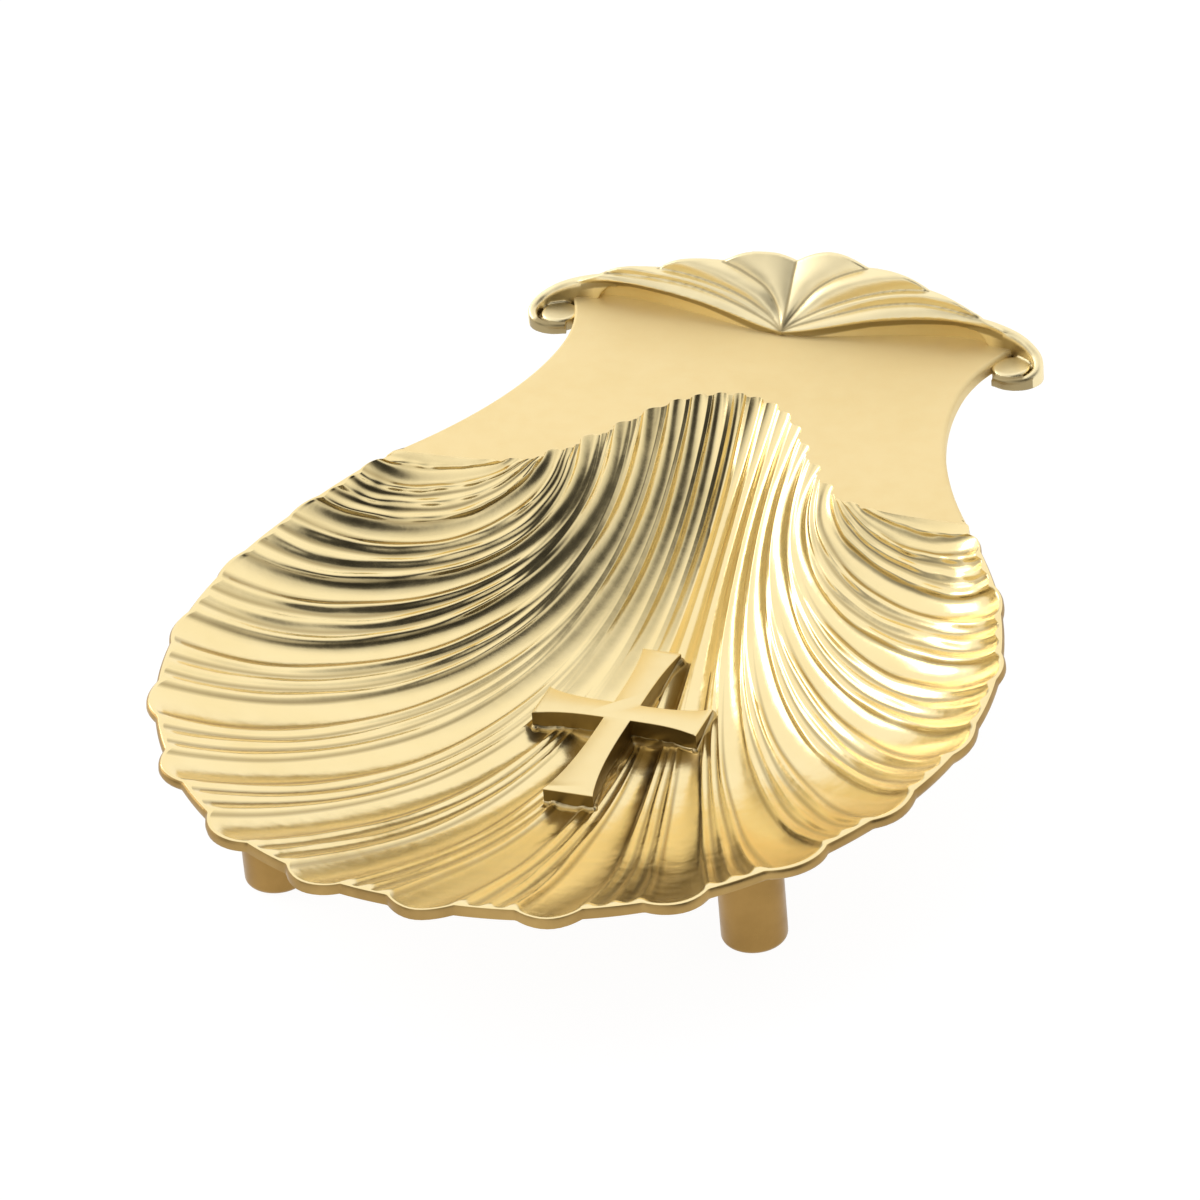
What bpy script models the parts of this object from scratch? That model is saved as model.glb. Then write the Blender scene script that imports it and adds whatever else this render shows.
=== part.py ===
"""Baptismal shell: ribbed dish with a neck plate, fan crest, applied cross and three peg feet."""

import math

import bmesh
import bpy
import numpy as np
from mathutils import Vector
from mathutils.bvhtree import BVHTree

# All lengths are metres. While the pieces are made, y = 0 is the apex of the crest, the front is
# toward -y, and z = 0 is the top of the neck plate. The whole object is set on the floor at the end.
MM = 0.001

# Walls and fits
WALL = 2.3 * MM
FIT_GAP = 0.3 * MM
FLOOR_CLEARANCE = 1.7 * MM

# Bowl. Tables run from the centre line (first value) to the shoulder (last value).
FLUTES = 17
FLUTE_PITCH = 2.0 / FLUTES
ACROSS = np.array([0, 1, 2, 3, 4, 5, 6, 7, 8, 8.5]) * FLUTE_PITCH
BELL_X = np.array([0, 2.75, 5.5, 8.1, 10.8, 13.5, 16.6, 20.0, 24.6, 27.5]) * MM
BELL_Y = np.array([-18.0, -18.5, -19.7, -21.8, -25.0, -29.4, -33.9, -38.4, -41.8, -42.4]) * MM
RIM_RADIUS = 53.4 * MM
SHOULDER_Y = -43.33 * MM
RIM_ANGLE = np.radians([0, 17.6, 35.2, 52.3, 69.2, 87.0, 103.9, 118.8, 130.6, 134.2])
RIM_GROWTH = np.array([1.0, 1.0, 1.004, 1.011, 1.019, 1.028, 1.041, 1.056, 1.067, 1.079])
RIM_CENTRE_Y = SHOULDER_Y + RIM_RADIUS * RIM_GROWTH[-1] * math.cos(RIM_ANGLE[-1])
RIM_DROP = np.array([5.4, 5.7, 5.6, 4.9, 4.4, 4.2, 3.6, 2.4, 0.4, 0.0]) * MM
BOWL_DEPTH = 21.6 * MM
DEPTH_POWER = 1.75
PROFILE_RISE = (0.90, 0.18)
PROFILE_FALL = (0.60, 1.32)
RIB_START_REACH = 0.355
RIB_END_REACH = (0.40, -0.12)
RIB_START_TURN = -0.37
RIB_END_TURN = (0.614, -0.055)
SIDE_STARTS = 0.72
SIDE_STRAIGHTNESS = 0.85
RIB_RELIEF = 1.1 * MM
FULL_PITCH = 16.0 * MM
SMOOTH_PITCH = 6.0 * MM
RELIEF_FADE_ROWS = 0.12
RELIEF_FADE_SIDE = 0.35
UPRIGHT_STARTS = 0.35
UPRIGHT_ENDS = 0.80
COLUMNS_PER_FLUTE = 6
BOWL_ROWS = 16
ROW_CROWDING = 1.35

# Neck plate
WAIST_HALF_WIDTH = 29.4 * MM
WAIST_Y = -10.0 * MM
WAIST_POWER = 1.9
CORNER_HALF_WIDTH = 31.0 * MM
CORNER_Y = 3.4 * MM
NECK_STEPS = 9

# Crest. Stations run outward from the centre line: two lobes, then the arm to past the corner.
LOBE_ENDS = (10.7 * MM, 19.9 * MM)
LOBE_MIDDLES = (5.3 * MM, 15.3 * MM)
ARM_END = CORNER_HALF_WIDTH + 1.0 * MM
ARM_MIDDLE = (LOBE_ENDS[1] + ARM_END) / 2
CREST_X = np.array([0, LOBE_MIDDLES[0], LOBE_ENDS[0], LOBE_MIDDLES[1], LOBE_ENDS[1], ARM_MIDDLE, ARM_END])
CREST_ROOT_Y = np.array([-0.8, 0.5, 2.0, 3.0, 3.9, 4.2, 3.4]) * MM
CREST_RIDGE_Y = np.array([-0.6, 1.2, 2.0, 2.2, 2.2, 1.8, 1.6]) * MM
CREST_RIDGE_Z = np.array([0.9, 1.0, 1.6, 2.5, 3.2, 3.5, 2.8]) * MM
CREST_TOP_Y = np.array([6.9, 6.4, 5.6, 5.0, 4.5, 3.9, 3.2]) * MM
CREST_TOP_Z = np.array([7.1, 7.3, 7.4, 6.5, 5.8, 4.9, 3.6]) * MM
LOBE_HEIGHTS = (1.5 * MM, 0.9 * MM)
CREST_BULGE = 0.8 * MM
CREST_UNDERCUT = 0.4 * MM
CREST_BACK_STEP = 1.3 * MM
CREST_ROUNDING = 0.4 * MM
CREST_OVERHANG = 0.8 * MM
CREST_STATIONS = 29

# Scroll at the end of each arm: a flat disc beside the plate, with the arm curled round it.
# The path lists (outward, backward, top height) from the disc's centre, from the arm inward.
SCROLL_Y = -0.9 * MM
SCROLL_RADIUS = 2.65 * MM
SCROLL_GAP = 2 * FIT_GAP
SCROLL_TOP_Z = -0.7 * MM
SCROLL_LOW_Z = -2.6 * MM
SCROLL_PATH = np.array([
    (-4.4, 3.5, 3.7), (-1.9, 3.65, 3.4), (1.2, 3.4, 2.4), (3.6, 1.5, 0.8),
    (4.0, -0.5, -0.2), (2.8, -2.1, -0.7), (0.6, -2.6, -0.9),
]) * MM
BAND_WIDTH = 1.3 * MM
BAND_LOW_Z = -2.4 * MM
BAND_OVER_PLATE_Z = 2 * FIT_GAP
BAND_CLEAR_OF_PLATE = 0.6 * MM
BAND_STEPS = 25

# Rivets that hold the crest on the plate
RIVET_X = 9.0 * MM
RIVET_Y = 4.0 * MM
RIVET_RADIUS = 1.0 * MM
RIVET_DEPTH = 2.0 * MM
RIVET_HEAD_RADIUS = 2.1 * MM
RIVET_HEAD_FLAT = 1.3 * MM
RIVET_HEAD_HEIGHT = 0.9 * MM

# Cross
CROSS_CENTRE_Y = RIM_CENTRE_Y + 15.0 * MM
CROSS_TOP_REACH = 15.3 * MM
CROSS_FOOT_REACH = 20.2 * MM
CROSS_ARM_REACH = 11.7 * MM
CROSS_WAIST = 1.8 * MM
CROSS_TOP_FLARE = 2.8 * MM
CROSS_FOOT_FLARE = 3.2 * MM
CROSS_ARM_FLARE = 3.3 * MM
CROSS_FLARE_POWER = 2.4
CROSS_ARM_STEPS = 6
CROSS_THICKNESS = 1.8 * MM
CROSS_STANDOFF = 2.4 * MM
SOLDER_HALF_WIDTH = 1.5 * MM
SOLDER_TOP_REACH = 8.0 * MM
SOLDER_FOOT_REACH = 19.6 * MM
SOLDER_ACROSS = 4
SOLDER_ALONG = 14

# Feet and their studs
FOOT_RADIUS = 4.35 * MM
FOOT_HEIGHT = 8.0 * MM
FOOT_ROUNDING = 1.0 * MM
FOOT_ARC_POINTS = 4
FRONT_FOOT_ANGLES = {"front_left": math.radians(-57.2), "front_right": math.radians(57.6)}
FRONT_FOOT_INSETS = {"front_left": 11.9 * MM, "front_right": 17.0 * MM}
REAR_FOOT_Y = BELL_Y[0] - 16.0 * MM
BOSS_RADIUS = 5.2 * MM
BOSS_LEAST_HEIGHT = 0.5 * MM
BOSS_INNER_RING = 1.3 * MM
BOSS_RINGS = 4
STUD_RADIUS = 1.8 * MM
STUD_IN_FOOT = 4.5 * MM
STUD_IN_BOSS = 2.6 * MM

# Meshing and shading
ROUND_SIDES = 32
PROBE_NUDGE = 0.007 * MM
SHARP_ANGLE = math.radians(35)


def smooth_curve(places, values, at):
    """Cubic curve through table values, with slopes taken from their neighbours."""
    slopes = np.gradient(values, places)
    low = np.clip(np.searchsorted(places, at) - 1, 0, len(places) - 2)
    span = places[low + 1] - places[low]
    t = (at - places[low]) / span
    from_low = values[low] * (1 + 2 * t) + slopes[low] * span * t
    from_high = values[low + 1] * (3 - 2 * t) - slopes[low + 1] * span * (1 - t)
    return from_low * (1 - t) ** 2 + from_high * t**2


def mirrored_curve(values, at, odd=False, stations=ACROSS):
    """Smooth curve through a half table mirrored about the centre line."""
    places = np.concatenate([-stations[:0:-1], stations])
    both = np.concatenate([(-1 if odd else 1) * values[:0:-1], values])
    return smooth_curve(places, both, at)


def ease(t):
    t = np.clip(t, 0, 1)
    return t * t * (3 - 2 * t)


def bowl_surface(u, v):
    """Bowl without ribs: u runs across it (-1 to 1), v from the plate (0) to the rim (1)."""
    spread = np.abs(u)
    bell = np.stack([mirrored_curve(BELL_X, u, odd=True), mirrored_curve(BELL_Y, u)], axis=-1)
    angle = mirrored_curve(RIM_ANGLE, u, odd=True)
    radius = RIM_RADIUS * mirrored_curve(RIM_GROWTH, u)
    rim = np.stack([radius * np.sin(angle), RIM_CENTRE_Y - radius * np.cos(angle)], axis=-1)
    chord = np.linalg.norm(rim - bell, axis=-1, keepdims=True)
    straight = SIDE_STRAIGHTNESS * ease((spread - SIDE_STARTS) / (1 - SIDE_STARTS))[..., None]
    along_chord = straight * (rim - bell) / chord
    leave = RIB_START_TURN * u
    arrive = (RIB_END_TURN[0] + RIB_END_TURN[1] * spread) * angle
    end_reach = (RIB_END_REACH[0] + RIB_END_REACH[1] * spread)[..., None] * chord
    leaving = along_chord + (1 - straight) * np.stack([np.sin(leave), -np.cos(leave)], axis=-1)
    arriving = along_chord + (1 - straight) * np.stack([np.sin(arrive), -np.cos(arrive)], axis=-1)
    first = bell + RIB_START_REACH * chord * leaving
    second = rim - end_reach * arriving
    w = v[..., None]
    plan = (1 - w) ** 3 * bell + 3 * w * (1 - w) ** 2 * first
    plan += 3 * w**2 * (1 - w) * second + w**3 * rim
    rise = PROFILE_RISE[0] + PROFILE_RISE[1] * spread
    fall = PROFILE_FALL[0] + PROFILE_FALL[1] * spread
    peak = (rise / (rise + fall)) ** (1 / fall)
    profile = v**rise * (1 - v**fall) / (peak**rise * (1 - peak**fall))
    depth = BOWL_DEPTH * (1 - spread**DEPTH_POWER)
    level = -mirrored_curve(RIM_DROP, u) * v - depth * profile
    return np.concatenate([plan, level[..., None]], axis=-1)


def surface_normals(points):
    """Unit normals of a grid of points, facing up."""
    across = np.gradient(points, axis=1)
    along = np.gradient(points, axis=0)
    normals = np.cross(along, across)
    return normals / np.linalg.norm(normals, axis=-1, keepdims=True)


def ribbed_bowl():
    """Top and underside grids of the bowl. The first row and the side columns lie on the plate."""
    columns = FLUTES * COLUMNS_PER_FLUTE
    across = np.linspace(-1, 1, columns + 1)
    along = np.linspace(0, 1, BOWL_ROWS + 1) ** ROW_CROWDING
    v, u = np.meshgrid(along, across, indexing="ij")
    base = bowl_surface(u, v)
    normals = surface_normals(base)
    pitch = COLUMNS_PER_FLUTE * np.linalg.norm(np.gradient(base, axis=1), axis=-1)
    height = RIB_RELIEF * np.clip(pitch / FULL_PITCH, 0, 1)
    fade = ease(v / RELIEF_FADE_ROWS) * ease((1 - np.abs(u)) / (RELIEF_FADE_SIDE * FLUTE_PITCH))
    relief = -height * np.cos(2 * math.pi * u / FLUTE_PITCH) * fade
    relief_under = relief * ease((pitch - SMOOTH_PITCH) / (FULL_PITCH - SMOOTH_PITCH))
    # The wall is measured square to the bowl in the middle and straight down at the shallow sides.
    up = np.array([0.0, 0.0, 1.0])
    upright = ease((np.abs(u) - UPRIGHT_STARTS) / (UPRIGHT_ENDS - UPRIGHT_STARTS))[..., None]
    through = (1 - upright) * normals + upright * up
    through /= np.linalg.norm(through, axis=-1, keepdims=True)
    on_plate = np.zeros(u.shape, bool)
    on_plate[0, :] = on_plate[:, 0] = on_plate[:, -1] = True
    mitre = (through + up) / (1 + through @ up)[..., None]
    step = np.where(on_plate[..., None], mitre, through)
    return base + relief[..., None] * normals, base + (relief_under - WALL)[..., None] * step


def neck_half_width(y):
    """Half width of the plate between its waist and its back corner."""
    t = (y - WAIST_Y) / (CORNER_Y - WAIST_Y)
    return WAIST_HALF_WIDTH + (CORNER_HALF_WIDTH - WAIST_HALF_WIDTH) * t**2


def neck_edge_stretch(y):
    """Length along the plate's edge for each unit of y, between its waist and its back corner."""
    t = (y - WAIST_Y) / (CORNER_Y - WAIST_Y)
    slope = 2 * t * (CORNER_HALF_WIDTH - WAIST_HALF_WIDTH) / (CORNER_Y - WAIST_Y)
    return math.hypot(1.0, slope)


def neck_side(shoulder):
    """Right-hand edge of the neck plate from the bowl's shoulder to the back corner."""
    points = []
    for t in np.linspace(1, 0, NECK_STEPS)[1:]:
        x = WAIST_HALF_WIDTH + (shoulder[0] - WAIST_HALF_WIDTH) * t**WAIST_POWER
        points.append((x, WAIST_Y + (shoulder[1] - WAIST_Y) * t))
    for y in np.linspace(WAIST_Y, CORNER_Y, NECK_STEPS // 2)[1:]:
        points.append((neck_half_width(y), y))
    return points


def crest_back_y(x):
    return mirrored_curve(CREST_TOP_Y, np.array(float(x)), stations=CREST_X) + CREST_BACK_STEP


def neck_outline(shoulder):
    """Free edge of the plate from the right shoulder round the back to the left shoulder."""
    right = neck_side(shoulder)
    half = np.linspace(CORNER_HALF_WIDTH, 0, NECK_STEPS)[1:]
    back = [(x, float(crest_back_y(x)) - CREST_OVERHANG) for x in half]
    side = right + back
    return side + [(-x, y) for x, y in side[-2::-1]]


def new_object(name, vertices, faces):
    mesh = bpy.data.meshes.new(name)
    mesh.from_pydata([tuple(map(float, p)) for p in vertices], [], faces)
    shape = bmesh.new()
    shape.from_mesh(mesh)
    bmesh.ops.recalc_face_normals(shape, faces=shape.faces[:])
    bmesh.ops.triangulate(shape, faces=shape.faces[:])
    shape.to_mesh(mesh)
    shape.free()
    made = bpy.data.objects.new(name, mesh)
    bpy.context.scene.collection.objects.link(made)
    return made


def combine(target, tool, operation):
    """Joins the tool to the target, or cuts it away, and removes the tool."""
    modifier = target.modifiers.new("combine", "BOOLEAN")
    modifier.operation = operation
    # The exact solver opens slivers where a boss or a scroll meets a curved wall.
    modifier.solver = "MANIFOLD"
    modifier.object = tool
    graph = bpy.context.evaluated_depsgraph_get()
    result = bpy.data.meshes.new_from_object(target.evaluated_get(graph))
    target.modifiers.clear()
    target.data = result
    bpy.data.objects.remove(tool)


def stacked_rings(name, rings):
    """Closed solid through rings of points of equal length, with a flat face at each end."""
    count = len(rings[0])
    vertices = [point for ring in rings for point in ring]
    faces = []
    for low in range(0, len(vertices) - count, count):
        high = low + count
        for i in range(count):
            j = (i + 1) % count
            faces.append((low + i, low + j, high + j, high + i))
    faces.append(tuple(range(count)))
    faces.append(tuple(range(len(vertices) - count, len(vertices))))
    return new_object(name, vertices, faces)


def circle(centre, radius):
    """Points (x, y) evenly spaced round a circle."""
    angles = [2 * math.pi * i / ROUND_SIDES for i in range(ROUND_SIDES)]
    return [(centre[0] + radius * math.cos(a), centre[1] + radius * math.sin(a)) for a in angles]


def turned(name, centre, profile):
    """Solid of revolution about a vertical axis, from (radius, z) pairs."""
    rings = []
    for radius, z in profile:
        rings.append([(x, y, z) for x, y in circle(centre, radius)])
    return stacked_rings(name, rings)


def drill(target, centre, radius, low, high):
    combine(target, turned("hole", centre, [(radius, low), (radius, high)]), "DIFFERENCE")


def build_bowl_and_plate():
    top, under = ribbed_bowl()
    rows, columns = top.shape[:2]
    vertices = [tuple(p) for p in top.reshape(-1, 3)] + [tuple(p) for p in under.reshape(-1, 3)]
    lower = rows * columns

    def at(row, column):
        return row * columns + column

    faces = []
    for row in range(rows - 1):
        for column in range(columns - 1):
            quad = (at(row, column), at(row, column + 1), at(row + 1, column + 1), at(row + 1, column))
            faces.append(quad)
            faces.append(tuple(lower + i for i in reversed(quad)))
    for column in range(columns - 1):
        a = at(rows - 1, column)
        faces.append((a, a + 1, lower + a + 1, lower + a))
    edge = neck_outline(top[-1, -1])
    upper_edge = list(range(len(vertices), len(vertices) + len(edge)))
    vertices += [(x, y, 0.0) for x, y in edge]
    lower_edge = list(range(len(vertices), len(vertices) + len(edge)))
    vertices += [(x, y, -WALL) for x, y in edge]
    shared = [at(row, 0) for row in range(rows - 1, -1, -1)]
    shared += [at(0, column) for column in range(1, columns)]
    shared += [at(row, columns - 1) for row in range(1, rows)]
    shared_under = [lower + i for i in shared]
    faces.append(tuple(shared + upper_edge))
    faces.append(tuple(shared_under + lower_edge))
    upper_side = [shared[-1]] + upper_edge + [shared[0]]
    lower_side = [shared_under[-1]] + lower_edge + [shared_under[0]]
    for i in range(len(upper_side) - 1):
        faces.append((upper_side[i], upper_side[i + 1], lower_side[i + 1], lower_side[i]))
    return new_object("shell_casting", vertices, faces)


class BowlProbe:
    """Heights of the bowl's floor and underside, found by looking straight down or up."""

    def __init__(self, shell):
        points = [vertex.co for vertex in shell.data.vertices]
        self.tree = BVHTree.FromPolygons(points, [face.vertices for face in shell.data.polygons])

    def height(self, x, y, start, direction):
        # The nudge keeps the line of sight off the mesh edges along the centre line.
        eye = Vector((x + PROBE_NUDGE, y + PROBE_NUDGE, start))
        return self.tree.ray_cast(eye, Vector((0, 0, direction)))[0].z

    def floor(self, x, y):
        return self.height(x, y, 1.0, -1)

    def underside(self, x, y):
        return self.height(x, y, -1.0, 1)


def boss(name, centre, face_z, probe):
    """Round boss whose top is buried halfway into the wall above it."""
    rings = [[(x, y, face_z) for x, y in circle(centre, BOSS_RADIUS)]]
    for radius in np.linspace(BOSS_RADIUS, BOSS_INNER_RING, BOSS_RINGS):
        ring = []
        for x, y in circle(centre, radius):
            ring.append((x, y, (probe.floor(x, y) + probe.underside(x, y)) / 2))
        rings.append(ring)
    return stacked_rings(name, rings)


def crest_sections():
    """Closed loops across the crest, from the left arm's end to the right one's."""
    places = np.linspace(-CREST_X[-1], CREST_X[-1], CREST_STATIONS)
    loops = []
    for x in places:
        out = abs(x)

        def curve(table):
            return float(mirrored_curve(table, np.array(x), stations=CREST_X))

        root = np.array([curve(CREST_ROOT_Y), FIT_GAP])
        ridge = np.array([curve(CREST_RIDGE_Y), curve(CREST_RIDGE_Z)])
        crown = np.array([curve(CREST_TOP_Y), curve(CREST_TOP_Z)])
        lobe = 0.0
        for start, end, height in zip((0.0, LOBE_ENDS[0]), LOBE_ENDS, LOBE_HEIGHTS):
            if start < out < end:
                lobe = height * math.sin(math.pi * (out - start) / (end - start))
        crown[1] += lobe
        face = crown - ridge
        outward = np.array([-face[1], face[0]]) / np.linalg.norm(face)
        bulge = outward * (CREST_BULGE + lobe / 2)
        back = crown[0] + CREST_BACK_STEP
        loop = [
            root,
            (root + ridge) / 2 + np.array([CREST_UNDERCUT, 0.0]),
            ridge,
            ridge + face / 3 + bulge,
            ridge + face * 2 / 3 + bulge,
            crown,
            np.array([back - CREST_ROUNDING, crown[1] - CREST_ROUNDING]),
            np.array([back, FIT_GAP]),
        ]
        loops.append([(x, y, z) for y, z in loop])
    return loops


def scroll_band(side, centre):
    """Wall of the arm that curls round the scroll's disc, reaching below the plate's top beside it."""
    steps = np.linalg.norm(np.diff(SCROLL_PATH[:, :2], axis=0), axis=1)
    places = np.concatenate([[0.0], np.cumsum(steps)])
    at = np.linspace(0, places[-1], BAND_STEPS)
    out, back, top = [smooth_curve(places, SCROLL_PATH[:, k], at) for k in range(3)]
    path = np.stack([centre[0] + side * out, centre[1] + back], axis=1)
    tangent = np.gradient(path, axis=0)
    tangent /= np.linalg.norm(tangent, axis=1, keepdims=True)
    across = np.stack([-tangent[:, 1], tangent[:, 0]], axis=1) * BAND_WIDTH / 2
    rings = []
    for middle, offset, high in zip(path, across, top):
        beside_plate = abs(middle[0]) > CORNER_HALF_WIDTH + BAND_CLEAR_OF_PLATE
        low = BAND_LOW_Z if beside_plate else BAND_OVER_PLATE_Z
        near = middle - offset
        far = middle + offset
        rings.append([(*near, low), (*far, low), (*far, high), (*near, high)])
    return stacked_rings("band", rings)


def build_crest():
    crest = stacked_rings("crest_casting", crest_sections())
    for side in (-1, 1):
        beside = (SCROLL_GAP + SCROLL_RADIUS) * neck_edge_stretch(SCROLL_Y)
        centre = (side * (neck_half_width(SCROLL_Y) + beside), SCROLL_Y)
        disc = turned("disc", centre, [(SCROLL_RADIUS, SCROLL_LOW_Z), (SCROLL_RADIUS, SCROLL_TOP_Z)])
        combine(crest, scroll_band(side, centre), "UNION")
        combine(crest, disc, "UNION")
        hole_end = FIT_GAP + RIVET_DEPTH
        drill(crest, (side * RIVET_X, RIVET_Y), RIVET_RADIUS + FIT_GAP, -WALL, hole_end)
    return crest


def build_rivet(name, side):
    head_top = -WALL - FIT_GAP
    profile = [
        (RIVET_HEAD_FLAT, head_top - RIVET_HEAD_HEIGHT),
        (RIVET_HEAD_RADIUS, head_top - RIVET_HEAD_HEIGHT / 2),
        (RIVET_HEAD_RADIUS, head_top),
        (RIVET_RADIUS, head_top),
        (RIVET_RADIUS, RIVET_DEPTH),
    ]
    return turned(name, (side * RIVET_X, RIVET_Y), profile)


def cross_outline(grow):
    """Outline of the cross, anticlockwise from above, made larger all round by grow."""
    waist = CROSS_WAIST + grow
    shares = np.linspace(0, 1, CROSS_ARM_STEPS)

    def arm(reach, flare):
        """(distance out, half width) pairs from the crossing to the end of one arm."""
        out = waist + (reach + grow - waist) * shares
        half = waist + (flare + grow - waist) * shares**CROSS_FLARE_POWER
        return list(zip(out, half))

    foot = arm(CROSS_FOOT_REACH, CROSS_FOOT_FLARE)
    side = arm(CROSS_ARM_REACH, CROSS_ARM_FLARE)
    head = arm(CROSS_TOP_REACH, CROSS_TOP_FLARE)
    right = [(half, -out) for out, half in reversed(foot)]
    right += [(out, -half) for out, half in side[1:]]
    right += [(out, half) for out, half in reversed(side)]
    right += [(half, out) for out, half in head[1:]]
    return right + [(-x, y) for x, y in reversed(right)]


def cross_prism(name, grow, low, high):
    rings = []
    for z in (low, high):
        rings.append([(x, CROSS_CENTRE_Y + y, z) for x, y in cross_outline(grow)])
    return stacked_rings(name, rings)


def build_solder(low_limit, probe):
    """Bed between the bowl's floor and the underside of the cross, along its stem."""
    across = np.linspace(-SOLDER_HALF_WIDTH, SOLDER_HALF_WIDTH, SOLDER_ACROSS)
    along = CROSS_CENTRE_Y + np.linspace(-SOLDER_FOOT_REACH, SOLDER_TOP_REACH, SOLDER_ALONG)
    rings = []
    for y in along:
        upper = [(x, y, low_limit - FIT_GAP) for x in across]
        under = [(x, y, probe.floor(x, y) + FIT_GAP) for x in reversed(across)]
        rings.append(upper + under)
    return stacked_rings("cross_solder", rings)


def foot_places():
    """Centre of each foot: the front pair inside the rim, the rear one under the bowl's throat."""
    places = {}
    for name, angle in FRONT_FOOT_ANGLES.items():
        reach = RIM_RADIUS - FRONT_FOOT_INSETS[name]
        places[name] = (reach * math.sin(angle), RIM_CENTRE_Y - reach * math.cos(angle))
    places["rear"] = (0.0, REAR_FOOT_Y)
    return places


def floor_height(shell, probe):
    """Floor under the feet: each foot clears the wall above it, and the bowl clears the floor."""
    bowl_low = min(vertex.co.z for vertex in shell.data.vertices)
    walls = []
    for place in foot_places().values():
        walls += [probe.underside(x, y) for x, y in circle(place, BOSS_RADIUS)]
    return min(bowl_low - FLOOR_CLEARANCE, min(walls) - BOSS_LEAST_HEIGHT - FOOT_HEIGHT)


def foot_profile(low, seat):
    """(radius, z) pairs of a peg foot with a rounded lower edge."""
    profile = []
    for turn in np.linspace(0, math.pi / 2, FOOT_ARC_POINTS):
        radius = FOOT_RADIUS - FOOT_ROUNDING * (1 - math.sin(turn))
        profile.append((radius, low + FOOT_ROUNDING * (1 - math.cos(turn))))
    return profile + [(FOOT_RADIUS, seat)]


def build_feet(shell, probe, floor_z):
    """Adds a drilled boss under the shell for each foot, and makes each foot and stud."""
    seat = floor_z + FOOT_HEIGHT
    boss_face = seat + FIT_GAP
    hole_radius = STUD_RADIUS + FIT_GAP
    hole_low = seat - STUD_IN_FOOT
    hole_high = boss_face + STUD_IN_BOSS
    places = foot_places()
    bosses = {name: boss("boss", place, boss_face, probe) for name, place in places.items()}
    for name, place in places.items():
        combine(shell, bosses[name], "UNION")
        drill(shell, place, hole_radius, boss_face - WALL, hole_high)
        foot = turned("foot_" + name, place, foot_profile(floor_z, seat))
        drill(foot, place, hole_radius, hole_low, seat + WALL)
        stud = [(STUD_RADIUS, hole_low + FIT_GAP), (STUD_RADIUS, hole_high - FIT_GAP)]
        turned("stud_" + name, place, stud)


def metal(name, colour, roughness):
    material = bpy.data.materials.new(name)
    material.use_nodes = True
    shader = material.node_tree.nodes["Principled BSDF"]
    shader.inputs["Base Color"].default_value = (*colour, 1.0)
    shader.inputs["Metallic"].default_value = 1.0
    shader.inputs["Roughness"].default_value = roughness
    return material


def finish_pieces(pieces):
    """Shades each piece smooth between its sharp edges and gives it its own metal."""
    looks = {
        "shell": ((0.86, 0.71, 0.42), 0.24),
        "crest": ((0.86, 0.71, 0.42), 0.24),
        "cross": ((0.87, 0.74, 0.46), 0.32),
        "cross_solder": ((0.62, 0.52, 0.33), 0.45),
        "foot": ((0.70, 0.55, 0.30), 0.30),
        "stud": ((0.66, 0.52, 0.30), 0.40),
        "crest_rivet": ((0.66, 0.52, 0.30), 0.40),
    }
    for piece in pieces:
        kind = max((key for key in looks if piece.name.startswith(key)), key=len)
        piece.data.materials.clear()
        piece.data.materials.append(metal(piece.name + "_metal", *looks[kind]))
        piece.data.shade_smooth()
        piece.data.set_sharp_from_angle(angle=SHARP_ANGLE)


def set_on_floor(pieces, floor_z):
    """Hangs the pieces on one empty, so that the feet stand on z = 0 and the box is centred."""
    depths = [vertex.co.y for piece in pieces for vertex in piece.data.vertices]
    assembly = bpy.data.objects.new("assembly", None)
    assembly.location = (0.0, -(min(depths) + max(depths)) / 2, -floor_z)
    bpy.context.scene.collection.objects.link(assembly)
    for piece in pieces:
        piece.parent = assembly


def main():
    for old in list(bpy.data.objects):
        bpy.data.objects.remove(old)
    shell = build_bowl_and_plate()
    probe = BowlProbe(shell)
    floor_z = floor_height(shell, probe)
    cross_low = probe.floor(0, CROSS_CENTRE_Y) + CROSS_STANDOFF
    cross_prism("cross", 0.0, cross_low, cross_low + CROSS_THICKNESS)
    build_solder(cross_low, probe)
    cross_seat = cross_prism("seat", FIT_GAP, cross_low - FIT_GAP, cross_low + BOWL_DEPTH)
    combine(shell, cross_seat, "DIFFERENCE")
    build_feet(shell, probe, floor_z)
    build_crest()
    for name, side in (("left", -1), ("right", 1)):
        drill(shell, (side * RIVET_X, RIVET_Y), RIVET_RADIUS + FIT_GAP, -2 * WALL, WALL)
        build_rivet("crest_rivet_" + name, side)
    pieces = list(bpy.context.scene.collection.objects)
    finish_pieces(pieces)
    set_on_floor(pieces, floor_z)


main()
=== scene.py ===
import math

import bmesh
import bpy
import numpy as np
from mathutils import Matrix, Vector
from mathutils.bvhtree import BVHTree
from mathutils.kdtree import KDTree


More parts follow.
